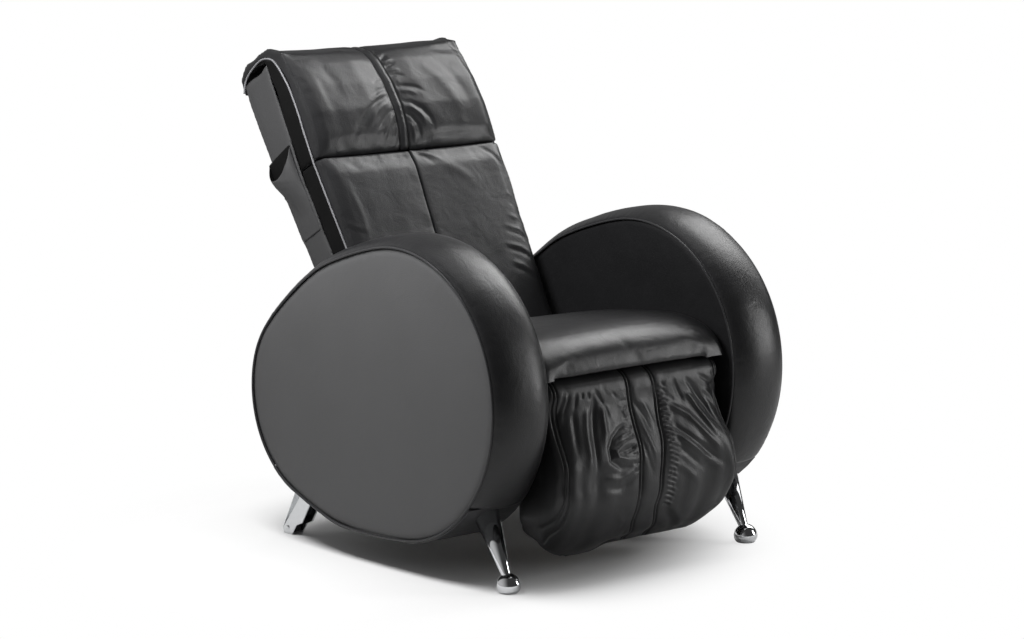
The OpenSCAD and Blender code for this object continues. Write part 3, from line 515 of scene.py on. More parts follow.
# outlines of the folded sheet in Y and Z, and profiles of the round pieces: radius, then place
# along the axle
CHEEK = [(0.222, 0), (0.248, 0), (0.252, 0.010), (0.154, 0.160), (0.106, 0.160), (0.187, 0.030),
         (0.206, 0.022)]
FLANGE = [(0.2465, 0.019), (0.2495, 0.0105), (0.252, 0.010), (0.1535, 0.160), (0.1500, 0.160)]
AXLE = [(0, -0.0172), (0.0026, -0.0172), (0.0046, -0.0158), (0.0046, -0.0146), (0.0030, -0.0146),
        (0.0030, 0.0146), (0.0046, 0.0146), (0.0046, 0.0158), (0.0026, 0.0172), (0, 0.0172)]
TYRE = [(0.0031, -0.0108), (0.0070, -0.0110), (0.0082, -0.0102), (0.0100, -0.0102),
        (0.0114, -0.0094), (0.0120, -0.0076), (0.0120, 0.0076), (0.0114, 0.0094),
        (0.0100, 0.0102), (0.0082, 0.0102), (0.0070, 0.0110), (0.0031, 0.0108), (0.0031, -0.0108)]
for name, side in SIDES:
    leg = bmesh.new()
    for k in (-1, 1):
        mid = side * LEG_X + k * 0.0135
        cheek = plate(CHEEK, mid - 0.0015, mid + 0.0015)
        softened(cheek, 0.0011)
        cut_to_arm(cheek, REAR_ARC, Vector((mid, 0.154, 0.125)), inset=0.0010)
        joined(leg, cheek)
    web = plate(FLANGE, -0.5, 0.5)
    for vert in web.verts:
        spread = mixed(0.0150, 0.0330, eased(vert.co.z, 0.010, 0.165))
        vert.co.x = side * LEG_X + (spread if vert.co.x > 0 else -spread)
    softened(web, 0.0009)
    cut_to_arm(web, REAR_ARC, Vector((side * LEG_X, 0.172, 0.125)), inset=0.0012)
    joined(leg, web)
    joined(leg, on_axle(turned(AXLE, 40), side))
    leg = linked(name + "_leg_fork", leg, satin_chrome, smooth=False)
    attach(leg, "base")
    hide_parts(name + "_rear_leg")

    wheel = linked(name + "_tyre", on_axle(turned(TYRE, 64), side), tyre_rubber)
    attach(wheel, name + "_wheel")
    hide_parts(name + "_wheel")

# ------------------------------------------------------------ Seat cushion
# The seat is one block of foam under black leather, full at the front where it rolls over to the
# seam. It is sewn underneath, rests flat on the deck, and is scooped out for the legrest's top.

CAD_WELD = 0.00005
AIR_PRESSURE, AIR_STEPS = 4.0, 20


def bmesh_of(mesh):
    """A mesh as a bmesh; the mesh itself goes."""
    bm = bmesh.new()
    bm.from_mesh(mesh)
    bpy.data.meshes.remove(mesh)
    return bm


def applied(piece):
    """The mesh that a piece's modifiers give."""
    return bpy.data.meshes.new_from_object(
        piece.evaluated_get(bpy.context.evaluated_depsgraph_get()))


def evened(name, bm, voxel):
    """An object remeshed evenly, its modifier applied."""
    piece = linked(name, bm)
    remesh = piece.modifiers.new("evened", "REMESH")
    remesh.mode, remesh.voxel_size = "VOXEL", voxel
    mesh = applied(piece)
    piece.modifiers.clear()
    piece.data = mesh
    return piece


def smoothed(bm, verts):
    bmesh.ops.smooth_vert(
        bm, verts=verts, factor=0.5, use_axis_x=True, use_axis_y=True, use_axis_z=True)


def puffed(node, voxel, start_in, most, free, calm=0):
    """A CAD cushion filled with air: remeshed evenly, blown up as cloth, held to a limit, smoothed.
    free(point) says from 0 to 1 how far a point may move; calm is how often the free face is
    smoothed again."""
    bm = bmesh.new()
    bm.from_mesh(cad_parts[node].data)
    bmesh.ops.remove_doubles(bm, verts=bm.verts, dist=CAD_WELD)
    bm.normal_update()
    for vert, away in [(vert, vert.normal.copy()) for vert in bm.verts]:
        vert.co -= away * start_in * free(vert.co)
    piece = evened(node + "_foam", bm, voxel)
    mesh = piece.data
    rest = [vert.co.copy() for vert in mesh.vertices]
    air = piece.modifiers.new("air", "CLOTH")
    air.settings.use_pressure = True
    air.settings.uniform_pressure_force = AIR_PRESSURE
    air.settings.effector_weights.gravity = 0
    air.settings.quality = 5
    air.point_cache.frame_start, air.point_cache.frame_end = 1, AIR_STEPS
    for step in range(1, AIR_STEPS + 1):
        bpy.context.scene.frame_set(step)
    blown = applied(piece)
    moved = [vert.co.copy() for vert in blown.vertices]
    bpy.data.meshes.remove(blown)
    piece.modifiers.clear()
    bpy.context.scene.frame_set(1)
    bm = bmesh.new()
    bm.from_mesh(mesh)
    bm.verts.ensure_lookup_table()
    for vert, start, end in zip(bm.verts, rest, moved):
        step = end - start
        if step.length > most:
            step *= most / step.length
        vert.co = start + step * free(start)
    loose = [vert for vert in bm.verts if free(vert.co) > 0.02]
    face = [vert for vert in loose if free(vert.co) > 0.55]
    for verts in [bm.verts, loose, loose] + [face] * calm:
        smoothed(bm, verts)
    bpy.data.objects.remove(piece)
    return bm


def finer(bm, name):
    """One Subdivision Surface, applied."""
    piece = linked(name, bm)
    rounder = piece.modifiers.new("rounder", "SUBSURF")
    rounder.levels = rounder.render_levels = 1
    mesh = applied(piece)
    bpy.data.objects.remove(piece)
    bm = bmesh_of(mesh)
    bm.normal_update()
    return bm


def finer_near(bm, close):
    """Halves the edges whose middle is close to a seam, so that its groove is sharp."""
    near = [edge for edge in bm.edges if close((edge.verts[0].co + edge.verts[1].co) / 2)]
    bmesh.ops.subdivide_edges(bm, edges=near, cuts=1, use_grid_fill=True)
    return bm


def sewn(bm, depth):
    """Moves each point along its normal by depth(point, normal), in metres."""
    bm.normal_update()
    for vert, away in [(vert, vert.normal.copy()) for vert in bm.verts]:
        vert.co += away * depth(vert.co, away)
    return bm


def groove(distance, width, depth):
    return -depth * exp(-(distance / width) ** 2)


# the legrest's pivot
LIFT_Y, LIFT_Z = -0.415, 0.362


def seat_free(p):
    """The deck, the legrest's scoop and the arms hold the foam; the top is free."""
    above = eased(p.z, 0.335, 0.375)
    scoop = eased(sqrt((p.y - LIFT_Y) ** 2 + (p.z - LIFT_Z) ** 2), 0.046, 0.060)
    beside = 1 - 0.85 * eased(abs(p.x), 0.215, 0.243)
    return above * scoop * beside


def seat_leather(p, away):
    """Soft waves over the top, and puckers above the front seam and at the side seams."""
    top = max(away.z, 0.0)
    front = eased(-p.y, 0.330, 0.452)
    over_seam = exp(-((p.z - 0.400) / 0.016) ** 2) * front
    waves = ripple(p.x, p.y, 1.0, 0.120) * 0.0006 + ripple(p.x, p.y * 1.6, 5.0, 0.050) * 0.0002
    puckers = ripple(p.x, 0.3, 2.0, 0.013) * 0.0004 + ripple(p.x, 0.7, 2.0, 0.034) * 0.0009
    side = exp(-((0.243 - abs(p.x)) / 0.010) ** 2)
    pleats = ripple(p.y, p.x * 2, 3.0, 0.014) * 0.0005
    return waves * top + puckers * over_seam + pleats * side * eased(p.z, 0.39, 0.43)


seat = puffed("seat_cushion", voxel=0.0055, start_in=0.003, most=0.007, free=seat_free)
seat = finer(seat, "seat_foam")
seat = linked("seat", sewn(seat, seat_leather), black_leather)
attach(seat, "base")
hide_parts("seat_cushion")

# ----------------------------------------------------------------- Legrest
# The legrest hangs from the seat's front as a long pad. Its soft leather is gathered into the top
# seam and along a smooth centre band between two double seams. Double seams edge its sides too.

gathered_leather = leather(
    "gathered_leather", (0.008, 0.008, 0.0085, 1), (0.019, 0.019, 0.020, 1), 0.40,
    crease=0.0008, crease_scale=34)


def legrest_free(p):
    """The board and the pivot's hook hold the back; the face is free."""
    beside = 1 - 0.7 * eased(abs(p.x), 0.212, 0.230)
    ahead = eased(LIFT_Y - p.y, 0.000, 0.026)
    high = 1 - 0.75 * eased(p.z, 0.330, 0.372)
    return beside * ahead * high


class Fold:
    """A ridge in leather, or a valley where its height is below zero, along a line of places.
    Everything is in millimetres, and the fold thins at its two ends."""

    def __init__(self, width, height, *line):
        self.width, self.height, self.spans = width, height, []
        self.reach = 0.0
        for a, b in zip(line, line[1:]):
            length = sqrt((b[0] - a[0]) ** 2 + (b[1] - a[1]) ** 2)
            self.spans.append((a, b, length, self.reach))
            self.reach += length
        margin = 2.6 * width
        self.low = min(a[0] for a in line) - margin, min(a[1] for a in line) - margin
        self.high = max(a[0] for a in line) + margin, max(a[1] for a in line) + margin

    def rise(self, x, y):
        if not (self.low[0] < x < self.high[0] and self.low[1] < y < self.high[1]):
            return 0.0
        near, run = 9e9, 0.0
        for (ax, ay), (bx, by), length, before in self.spans:
            share = ((x - ax) * (bx - ax) + (y - ay) * (by - ay)) / length ** 2
            share = min(max(share, 0.0), 1.0)
            off = (x - mixed(ax, bx, share)) ** 2 + (y - mixed(ay, by, share)) ** 2
            if off < near:
                near, run = off, (before + share * length) / self.reach
        fade = eased(run, -0.08, 0.30) * (1 - eased(run, 0.62, 1.05))
        return self.height * fade * exp(-near / self.width ** 2)


def folds_rise(folds, x, y):
    """Height in metres of all the folds at a place in metres."""
    x, y = x * 1000, y * 1000
    return sum(fold.rise(x, y) for fold in folds) * 0.001


FOLDS = [Fold(*row) for row in (
    # gathers at the top seam, left of the centre band
    (4.5, -3.2, (-196, -4), (-198, 10), (-207, 38)),
    (4.0, -2.6, (-180, -6), (-190, 14), (-200, 40)),
    (4.5, 2.4, (-188, -6), (-196, 20), (-206, 55)),
    (3.6, -2.4, (-162, -6), (-167, 12), (-172, 26)),
    (3.6, -2.4, (-147, -6), (-150, 8)),
    (3.4, -2.2, (-133, -6), (-131, 12)),
    (4.2, -3.4, (-113, -6), (-104, 10), (-93, 28)),
    (4.0, 2.4, (-103, -6), (-91, 14), (-80, 54)),
    (4.0, 2.2, (-84, -6), (-60, -2), (-31, 22)),
    (3.6, -2.0, (-74, -2), (-54, 22), (-38, 50)),
    (4.2, 2.2, (-66, 6), (-48, 34), (-35, 64)),
    (3.2, -1.8, (-58, -4), (-40, 14)),
    # long folds of the left half
    (7.0, -4.2, (-120, -4), (-121, 26), (-132, 66), (-142, 110), (-148, 150)),
    (8.0, 3.2, (-138, 4), (-142, 34), (-156, 86), (-165, 149)),
    (7.5, 3.6, (-100, 10), (-101, 40), (-106, 74), (-120, 104)),
    (7.0, -2.6, (-172, 20), (-178, 60), (-190, 110)),
    # the loop beside the left centre seam
    (5.0, -4.6, (-38, 64), (-65, 71), (-90, 86), (-106, 104), (-107, 126), (-84, 142), (-48, 146)),
    (5.5, 4.0, (-38, 94), (-72, 102), (-93, 111), (-90, 122), (-66, 129), (-40, 130)),
    (4.0, -3.4, (-38, 108), (-60, 112), (-78, 114)),
    (5.5, 3.0, (-40, 80), (-62, 84), (-80, 92)),
    (7.0, 2.8, (-132, 160), (-88, 164), (-40, 148)),
    (7.0, -2.2, (-126, 180), (-86, 182), (-42, 168)),
    # soft folds of the centre band
    (5.5, 1.8, (-14, -4), (14, 43), (30, 82)),
    (5.0, -1.4, (-18, 22), (4, 60), (18, 100)),
    (5.5, 1.6, (-8, 60), (2, 100), (14, 150)),
    (5.0, -1.2, (-20, 90), (-12, 130), (0, 170)),
    # long folds that fall to the right from the top seam
    (6.0, 4.4, (108, -6), (124, 20), (150, 62), (186, 116)),
    (5.5, -4.4, (124, -6), (144, 18), (172, 56), (202, 116)),
    (5.5, 4.0, (142, -6), (166, 14), (196, 44), (224, 80)),
    (4.8, -3.4, (160, -6), (186, 8), (212, 30), (228, 56)),
    (4.4, 2.8, (180, -6), (206, 10), (228, 36)),
    (4.2, -2.6, (196, -6), (216, 6), (230, 24)),
    (5.0, -2.4, (92, -6), (102, 18), (118, 48)),
    (5.0, 2.0, (76, -6), (84, 16), (98, 40)),
    (3.8, -2.0, (62, -6), (66, 14), (74, 34)),
    # long folds from the right centre seam
    (7.0, 4.2, (58, 34), (84, 48), (118, 68), (150, 104), (190, 146)),
    (6.0, -3.8, (60, 70), (82, 88), (112, 110), (152, 142), (194, 170)),
    (6.5, 3.4, (52, 92), (72, 96), (102, 118), (140, 148), (182, 180)),
    (6.0, -2.6, (54, 118), (76, 124), (104, 146), (140, 176)),
    (8.0, 1.8, (60, 150), (92, 172), (130, 204)),
    (9.0, -2.4, (40, 240), (74, 274), (108, 316)),
    (8.0, 1.6, (56, 236), (92, 270), (124, 306)),
    (7.0, -1.6, (-70, 250), (-52, 276), (-40, 300)),
    (7.0, 1.4, (-90, 236), (-60, 262), (-44, 292)),
)]
for k in range(24):
    # short puckers along the right centre seam, and fewer along the left one
    down = 6 + k * 9.6
    sway = noise.noise(Vector((k * 1.3, 1.9, 5.5)))
    seam = mixed(50, 32, eased(down, 110, 235))
    FOLDS.append(Fold(
        2.7, 2.3, (seam, down), (seam + 13, down + 2),
        (seam + 27 + 12 * sway, down + 10 + 5 * sway)))
    FOLDS.append(Fold(
        2.2, -1.7, (seam, down + 4.8), (seam + 10, down + 6), (seam + 20 + 9 * sway, down + 12)))
for k in range(9):
    down = 18 + k * 17 + 6 * noise.noise(Vector((k * 1.9, 4.2, 8.8)))
    FOLDS.append(Fold(3.2, -1.5, (-32, down), (-44, down + 3), (-54, down + 2)))


def seam_line(places, down):
    """Distance across of a seam that runs through places (across, down), in metres."""
    for (ax, ad), (bx, bd) in zip(places, places[1:]):
        if down <= bd or (bx, bd) == places[-1]:
            straight = min(max((down - ad) / (bd - ad), 0.0), 1.0)
            return mixed(ax, bx, eased(down, ad, bd) * 0.5 + straight * 0.5)


LEFT_CENTRE = (
    (-0.0270, -0.030), (-0.0235, 0.055), (-0.0245, 0.102), (-0.0300, 0.151), (-0.0360, 0.218),
    (-0.0360, 0.259), (-0.0130, 0.313))
RIGHT_CENTRE = (
    (0.0385, -0.031), (0.0475, 0.031), (0.0400, 0.094), (0.0300, 0.142), (0.0230, 0.182),
    (0.0150, 0.234), (0.0430, 0.306))


def side_seam(down):
    """Distance of a side's double seam from the middle."""
    return 0.2135 + 0.0130 * eased(down, 0.060, 0.190)


def legrest_seams(p):
    """Whether a place is near one of the legrest's double seams."""
    down = LIFT_Z - p.z
    centres = [abs(p.x - seam_line(places, down)) for places in (LEFT_CENTRE, RIGHT_CENTRE)]
    return p.y <= -0.425 and min(*centres, abs(abs(p.x) - side_seam(down))) < 0.0085


def stitches(off, half, width, depth):
    """Two rows of stitches beside a seam's line."""
    return groove(off - half, width, depth) + groove(off + half, width, depth)


def legrest_leather(p, away):
    """Gathers, folds and double seams of the face, by distance across and distance down."""
    x, down = p.x, LIFT_Z - p.z
    ahead = eased(-away.y, 0.02, 0.35) * eased(LIFT_Y - p.y, 0.002, 0.014)
    if ahead <= 0:
        return 0.0
    off_left, off_right = x - seam_line(LEFT_CENTRE, down), x - seam_line(RIGHT_CENTRE, down)
    rise = 0.0
    for off in (off_left, off_right):
        rise += stitches(off, 0.0038, 0.0016, 0.0032) + groove(off, 0.012, 0.0020)
    off_side = abs(x) - side_seam(down)
    rise += stitches(off_side, 0.0040, 0.0016, 0.0030) + groove(off_side, 0.010, 0.0012)
    band = eased(off_left, 0.006, 0.010) * eased(-off_right, 0.006, 0.010)
    clear = eased(abs(off_left), 0.004, 0.009) * eased(abs(off_right), 0.004, 0.009)
    clear *= eased(abs(off_side), 0.004, 0.009)
    rise += folds_rise(FOLDS, x, down) * clear
    loose = (1 - band) * clear * (1 - 0.8 * eased(down, 0.15, 0.26))
    rise += loose * ripple(x, down * 0.30, 2.0, 0.020) * 0.0006
    rise += loose * ripple(x, down * 0.5, 6.0, 0.050) * 0.0012
    rise += clear * ripple(x, down, 8.0, 0.030) * 0.0003
    hem = eased(down, 0.285, 0.312)
    rise += hem * (ripple(x, 0.0, 4.0, 0.060) * 0.0020 - 0.006 * exp(-((x + 0.052) / 0.030) ** 2))
    free = eased(LIFT_Y - p.y, 0.026, 0.040) * eased(down, 0.020, 0.040)
    return mixed(min(rise, 0.0), rise, free) * ahead


def legrest_gusset(bm):
    """Lets the lower corners hang fuller, and draws the sides back past the straps as gussets."""
    corner = 0.095
    for vert in bm.verts:
        x, down, behind = abs(vert.co.x), LIFT_Z - vert.co.z, vert.co.y - LIFT_Y
        over = min(max(x - 0.135, 0.0), corner - 0.0001)
        drop = corner - sqrt(corner ** 2 - over ** 2)
        vert.co.z -= 0.70 * drop * min(max(down / 0.329 - 0.5, 0.0) / 0.5, 0.7)
        vert.co.z -= 0.010 * (1 - eased(vert.co.x, -0.100, -0.045)) * eased(down, 0.240, 0.320)
        vert.co.x *= 1 + 0.034 * eased(down, 0.070, 0.200)
        low_edge = eased(down, 0.060, 0.160) * (1 - eased(down, 0.300, 0.335))
        vert.co.y -= 0.012 * eased(x, 0.180, 0.222) * low_edge * eased(-behind, 0.020, 0.050)
        side = eased(x, 0.2170, 0.2215) * eased(behind, -0.010, 0.012)
        vert.co.y += 0.033 * side * eased(down, 0.085, 0.130)
    return bm


PAD_VOXEL = 0.0048
legrest = puffed(
    "legrest_pad", PAD_VOXEL, start_in=0.003, most=0.007, free=legrest_free, calm=16)
legrest = finer_near(finer(legrest_gusset(legrest), "legrest_foam"), legrest_seams)
legrest = linked("legrest_cover", sewn(legrest, legrest_leather), gathered_leather)
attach(legrest, "legrest")
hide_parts("legrest_pad")

# --------------------------------------------------------- Lower back pad
# The lower pad lies against the backrest's shell and runs down behind the seat. One sewn groove
# divides it, and its leather shows tension creases where the groove and the side seams hold it.

# the backrest's pivot and lean, and heights up the back of the seam between its pads and of the
# shell's top
PIVOT_Y, PIVOT_Z = 0.110, 0.335
LEAN_SIN, LEAN_COS = 0.5, 0.8660254
CROSS_SEAM, SHELL_TOP = 0.435, 0.687


def on_back(x, rearward, up):
    """A place given in the backrest's own frame, which leans back by 30 degrees."""
    return Vector((
        x, PIVOT_Y + LEAN_SIN * up + LEAN_COS * rearward,
        PIVOT_Z + LEAN_COS * up - LEAN_SIN * rearward))


def in_back(p):
    """(across, rearward, up) of a place, in the backrest's own frame."""
    y, z = p.y - PIVOT_Y, p.z - PIVOT_Z
    return p.x, LEAN_COS * y - LEAN_SIN * z, LEAN_SIN * y + LEAN_COS * z


def half_width(s):
    """Half width of the backrest at a distance up it."""
    if s < CROSS_SEAM:
        return mixed(0.225, 0.244, s / CROSS_SEAM)
    return mixed(0.244, 0.237, min((s - CROSS_SEAM) / (SHELL_TOP - CROSS_SEAM), 1.0))


def pad_free(p):
    """The shell holds the rear, and the seams hold the ends and the sides; the front is free."""
    x, t, s = in_back(p)
    held_to = mixed(0.091, 0.050, eased(s, 0.595, 0.630))
    ahead = max(eased(-t, held_to, held_to + 0.013), eased(s, 0.694, 0.706))
    beside = 1 - eased(abs(x), 0.214, 0.236)
    seam = eased(abs(s - CROSS_SEAM), 0.004, 0.040)
    return ahead * beside * seam


def raised(t, s):
    """The rear of the shell's top and the flap over it stand a little higher than their solids."""
    return s + 0.022 * eased(t, -0.020, 0.056) * eased(s, 0.600, 0.655)


def shaped(bm, centre, depth, edge):
    """Draws a pad's middle aside to its seam's line, fills its front out towards the edges, and
    stretches it to the cross seam at a height."""
    ends = [in_back(vert.co)[2] for vert in bm.verts]
    low, high = min(ends), max(ends)
    lower = abs(high - edge) < abs(low - edge)
    gap = edge - high if lower else edge - low
    for vert in bm.verts:
        x, t, s = in_back(vert.co)
        share = min(abs(x) / half_width(s), 1.0)
        front = eased(-t, 0.086, 0.098) if s < 0.60 else 1.0
        lack = (1 - max(1 - share ** 4, 0.0) ** 0.6) - (1 - max(1 - share ** 14, 0.0) ** 0.5)
        t -= front * lack * depth(s)
        x += front * centre(s) * (1 - share * share) ** 2
        s += gap * (eased(s, edge - 0.045, edge) if lower else 1 - eased(s, edge, edge + 0.045))
        vert.co = on_back(x, t, raised(t, s))
    return bm


# Painted shade: a near-black, dull finish for the pads' recessed sides and the pouch's inside, in
# place of the leather they are made of.
painted_shade_black = worn(
    "painted_shade_black", dark=(0.003, 0.003, 0.003, 1), light=(0.008, 0.008, 0.008, 1),
    broad=(14.0, 3.0), roughness=(0.10, 0.80), fine=(900.0, 2.0), relief=(0.00015, 0.8),
    Specular_IOR_Level=0.15)


def gusseted(piece, is_gusset):
    """Faces that are gusset by is_gusset(centre, normal) take the near-black of painted shade."""
    piece.data.materials.append(painted_shade_black.material)
    for face in piece.data.polygons:
        if is_gusset(face.center, face.normal):
            face.material_index = 1


CURL_FROM, CURL_RADIUS = 0.600, 0.0765


def curl(t, s):
    """Distance from the middle of the headrest's curl, in a side view."""
    return sqrt((t + 0.012) ** 2 + ((s - CURL_FROM) * 0.78) ** 2)


def pad_gusset(centre, away):
    """The sides of the back pads, behind the piping."""
    x, t, s = in_back(centre)
    inside = curl(t, s) < CURL_RADIUS if s > CURL_FROM else t > -0.0865
    return abs(x) > 0.20 and abs(away.x) > 0.6 and inside


LOWER_FOLDS = [Fold(*row) for row in (
    (7.0, 2.4, (222, 426), (233, 358), (236, 296)),
    (6.0, -1.6, (180, 434), (206, 410), (224, 376)),
    (6.0, 1.0, (168, 246), (205, 232), (238, 206)),
    (6.0, -0.9, (164, 236), (202, 222), (236, 196)),
    (6.0, 1.0, (152, 206), (190, 194), (230, 170)),
    (6.0, -0.9, (150, 196), (188, 182), (226, 158)),
    (6.0, 0.9, (150, 166), (182, 152), (214, 126)),
    (6.0, -0.8, (148, 154), (178, 140), (208, 112)),
    (5.0, 0.8, (206, 322), (226, 304), (238, 276)),
    (5.0, -0.8, (202, 300), (222, 284), (238, 256)),
    (5.0, 0.8, (186, 270), (214, 258), (238, 236)),
    (12.0, 1.2, (60, 400), (100, 380), (140, 340)),
    (6.0, -1.6, (6, 424), (26, 418), (46, 400)),
    (6.0, 1.4, (14, 430), (40, 424), (70, 402)),
    (5.0, -1.2, (-14, 420), (-30, 424), (-60, 422)),
    (9.0, 1.2, (-200, 380), (-190, 300), (-196, 220)),
    (6.0, 0.6, (-236, 300), (-214, 280), (-190, 270)),
    (6.0, -0.6, (-236, 286), (-212, 268), (-186, 258)),
)]


def groove_line(s):
    """Distance across of the lower pad's groove."""
    return -0.0050 - 0.0110 * (1 - eased(s, 0.230, 0.440))


def lower_leather(p, away):
    """Centre groove, a few pleats along it, and creases at the outer edges."""
    x, t, s = in_back(p)
    ahead = eased(-t, 0.075, 0.097) * eased(-away.y, 0.1, 0.5)
    beside = eased(abs(away.x), 0.4, 0.8) * eased(-t, 0.040, 0.050)
    rise = 0.0
    if beside > 0:
        rise += beside * (groove(t + 0.0870, 0.0022, 0.0018) + groove(t + 0.0400, 0.0020, 0.0014))
    if ahead > 0:
        line = x - groove_line(s)
        rise += ahead * (groove(line, 0.0032, 0.0080) - groove(line, 0.0100, 0.0060))
        rise += ahead * folds_rise(LOWER_FOLDS, x, s)
        rise += ahead * groove(abs(x) - half_width(s) + 0.0045, 0.0020, 0.0010)
        pleat = exp(-(abs(line) / 0.024) ** 2) * (1 - exp(-(abs(line) / 0.004) ** 2))
        rise += ahead * pleat * ripple(s, x * 0.6, 1.0, 0.022) * 0.0006
        high = exp(-((0.434 - s) / 0.018) ** 2)
        rise += ahead * high * ripple(x, 0.0, 6.0, 0.016) * 0.0006
        rise += ahead * high * ripple(x, 0.0, 2.0, 0.040) * 0.0008
        rise += ahead * ripple(x, s * 0.7, 11.0, 0.100) * 0.0012
        rise += ahead * ripple(x, s, 12.0, 0.040) * 0.0003
    return rise


def near_groove(p):
    """Whether a place is near the lower pad's groove or its side seams."""
    x, t, s = in_back(p)
    if abs(x) > 0.20:
        return abs(t + 0.087) < 0.005
    return t < -0.080 and abs(x - groove_line(s)) < 0.008


lower_pad = puffed("lower_back_pad", PAD_VOXEL, start_in=0.003, most=0.006, free=pad_free)
lower_pad = shaped(lower_pad, groove_line, lambda s: 0.014, CROSS_SEAM + 0.0044)
lower_pad = finer_near(finer(lower_pad, "lower_foam"), near_groove)
lower_pad = linked("lower_pad_cover", sewn(lower_pad, lower_leather), black_leather)
gusseted(lower_pad, pad_gusset)
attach(lower_pad, "backrest")
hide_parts("lower_back_pad")

# ---------------------------------------------------------------- Headrest
# The head pad meets the lower pad in a deep seam, curls over the top of the shell and hangs down
# behind as a flap. A strip between two seams runs up its middle, and the leather gathers along it.


STRIP_HALF = 0.0112


def strip_line(s):
    """Distance across of the middle of the head pad's strip."""
    return -0.0080 - 0.0030 * (1 - eased(s, 0.460, 0.530))


HEAD_FOLDS = [Fold(*row) for row in (
    (6.0, -3.0, (-22, 556), (-60, 544), (-92, 526), (-128, 496), (-150, 466)),
    (6.5, 2.6, (-20, 546), (-52, 534), (-78, 516), (-112, 482)),
    (5.0, -2.8, (-20, 528), (-42, 516), (-62, 500), (-90, 470)),
    (5.5, 2.6, (-20, 518), (-38, 504), (-54, 486), (-72, 458)),
    (4.5, -2.0, (-20, 502), (-32, 488), (-44, 462)),
    (4.5, -1.8, (-21, 576), (-44, 570), (-70, 556)),
    (5.0, 1.8, (-21, 566), (-50, 558), (-84, 540)),
    (4.0, -1.4, (-21, 598), (-36, 596), (-54, 586)),
    (5.0, -2.4, (6, 576), (30, 576), (54, 570), (76, 556)),
    (5.5, 2.0, (6, 566), (30, 564), (56, 554)),
    (5.5, -3.0, (6, 540), (28, 536), (50, 520), (64, 500), (70, 468)),
    (5.5, 3.0, (7, 528), (26, 524), (42, 508), (54, 480)),
    (4.5, -2.6, (6, 516), (18, 506), (28, 488), (31, 456)),
    (4.0, 1.8, (6, 498), (14, 484), (18, 456)),
    (4.0, -2.0, (5, 604), (22, 606), (44, 600)),
    (3.8, -2.4, (4, 626), (20, 632), (38, 636)),
    (3.8, -2.4, (4, 646), (18, 654), (30, 662)),
    (3.8, 2.0, (4, 636), (20, 643), (36, 648)),
    (3.6, 1.8, (4, 616), (20, 618), (40, 618)),
    (3.6, -2.0, (4, 664), (14, 674), (24, 684)),
    (14.0, 2.0, (90, 640), (130, 580), (160, 500)),
    (12.0, -1.6, (130, 660), (170, 590), (190, 500)),
    (12.0, 1.6, (-200, 640), (-196, 560), (-190, 480)),
    (14.0, -1.4, (-160, 660), (-150, 600), (-150, 540)),
    (8.0, 1.6, (40, 456), (110, 460), (190, 458)),
    (8.0, 1.6, (-60, 456), (-120, 462), (-200, 458)),
)]


def head_leather(p, away):
    """Two seams up the middle, gathers beside them, and soft folds on the two halves."""
    x, t, s = in_back(p)
    ahead = max(eased(-t, 0.055, 0.085), eased(s, 0.690, 0.700))
    beside = eased(abs(away.x), 0.4, 0.8)
    rise = 0.0
    if beside > 0:
        arc = curl(t, s) - CURL_RADIUS if s > CURL_FROM else abs(t) - 0.0870
        rise += beside * groove(arc, 0.0022, 0.0018) * eased(-t, -0.040, 0.0)
        rise += beside * groove(t + 0.0400, 0.0020, 0.0014) * (1 - eased(s, 0.600, 0.660))
    if ahead <= 0:
        return rise
    run = s - t
    line = x - strip_line(s)
    for seam in (-STRIP_HALF, STRIP_HALF):
        rise += ahead * (groove(line - seam, 0.0022, 0.0034) + groove(line - seam, 0.009, 0.0012))
    outside = eased(abs(line), 0.0115, 0.0160)
    gathers = exp(-((abs(line) - 0.013) / 0.016) ** 2) * outside
    rise += ahead * gathers * ripple(run + 0.4 * abs(x), x, 1.0, 0.013) * 0.0008
    rise += ahead * outside * folds_rise(HEAD_FOLDS, x, s) * 0.75
    low = exp(-((s - 0.440) / 0.020) ** 2) * eased(-t, 0.07, 0.09)
    rise += ahead * low * ripple(x, s * 0.5, 6.0, 0.018) * 0.0006
    rise += ahead * low * ripple(x, s * 0.3, 2.0, 0.045) * 0.0010
    rise += ahead * groove(abs(x) - half_width(s) + 0.0045, 0.0020, 0.0010)
    rise += ahead * ripple(x, run * 0.7, 11.0, 0.090) * 0.0014
    rise += ahead * ripple(x, run, 12.0, 0.035) * 0.0004
    return rise


def head_depth(s):
    """How far the head pad's front stands ahead of its edges at a distance up it."""
    return max(0.029 - 0.029 * ((s - 0.535) / 0.115) ** 2, -0.007)


def near_strip(p):
    """Whether a place is near the seams of the head pad's strip."""
    x, t, s = in_back(p)
    return (t < -0.055 or s > 0.695) and abs(abs(x - strip_line(s)) - STRIP_HALF) < 0.006


head = puffed("head_pad", PAD_VOXEL, start_in=0.003, most=0.006, free=pad_free)
head = shaped(head, strip_line, head_depth, CROSS_SEAM + 0.0052)
head = finer_near(finer(head, "head_foam"), near_strip)
head = linked("head_cover", sewn(head, head_leather), black_leather)
gusseted(head, pad_gusset)
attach(head, "backrest")
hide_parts("head_pad")

# -------------------------------------------------------------- Back shell
# The shell is a moulded box, open in front. It is covered in plain leather, glued on and sewn
# beside the rear corners.

# The shell's leather is painted dark grey, lighter than the black leather, for the light that falls
# on its sides; the pouch's outside takes it too.
lit_shell_leather = leather(
    "lit_shell_leather", (0.034, 0.034, 0.035, 1), (0.052, 0.052, 0.053, 1), 0.54, crease=0.0008)


def shell_rear(s):
    """How far back the shell's rear stands at a distance up it."""
    return mixed(0.025, 0.057, min(max(s / 0.655, 0), 1))


def shell_cover(p, away):
    """Seams beside the rear corners, and a slight slackness of the leather."""
    x, t, s = in_back(p)
    outside = eased(abs(away.x) * (abs(x) > 0.215), 0.3, 0.8)
    rise = groove(t - shell_rear(s) + 0.012, 0.0026, 0.0016) * outside
    return rise + ripple(t, s * 0.6, x * 4, 0.110) * 0.0008


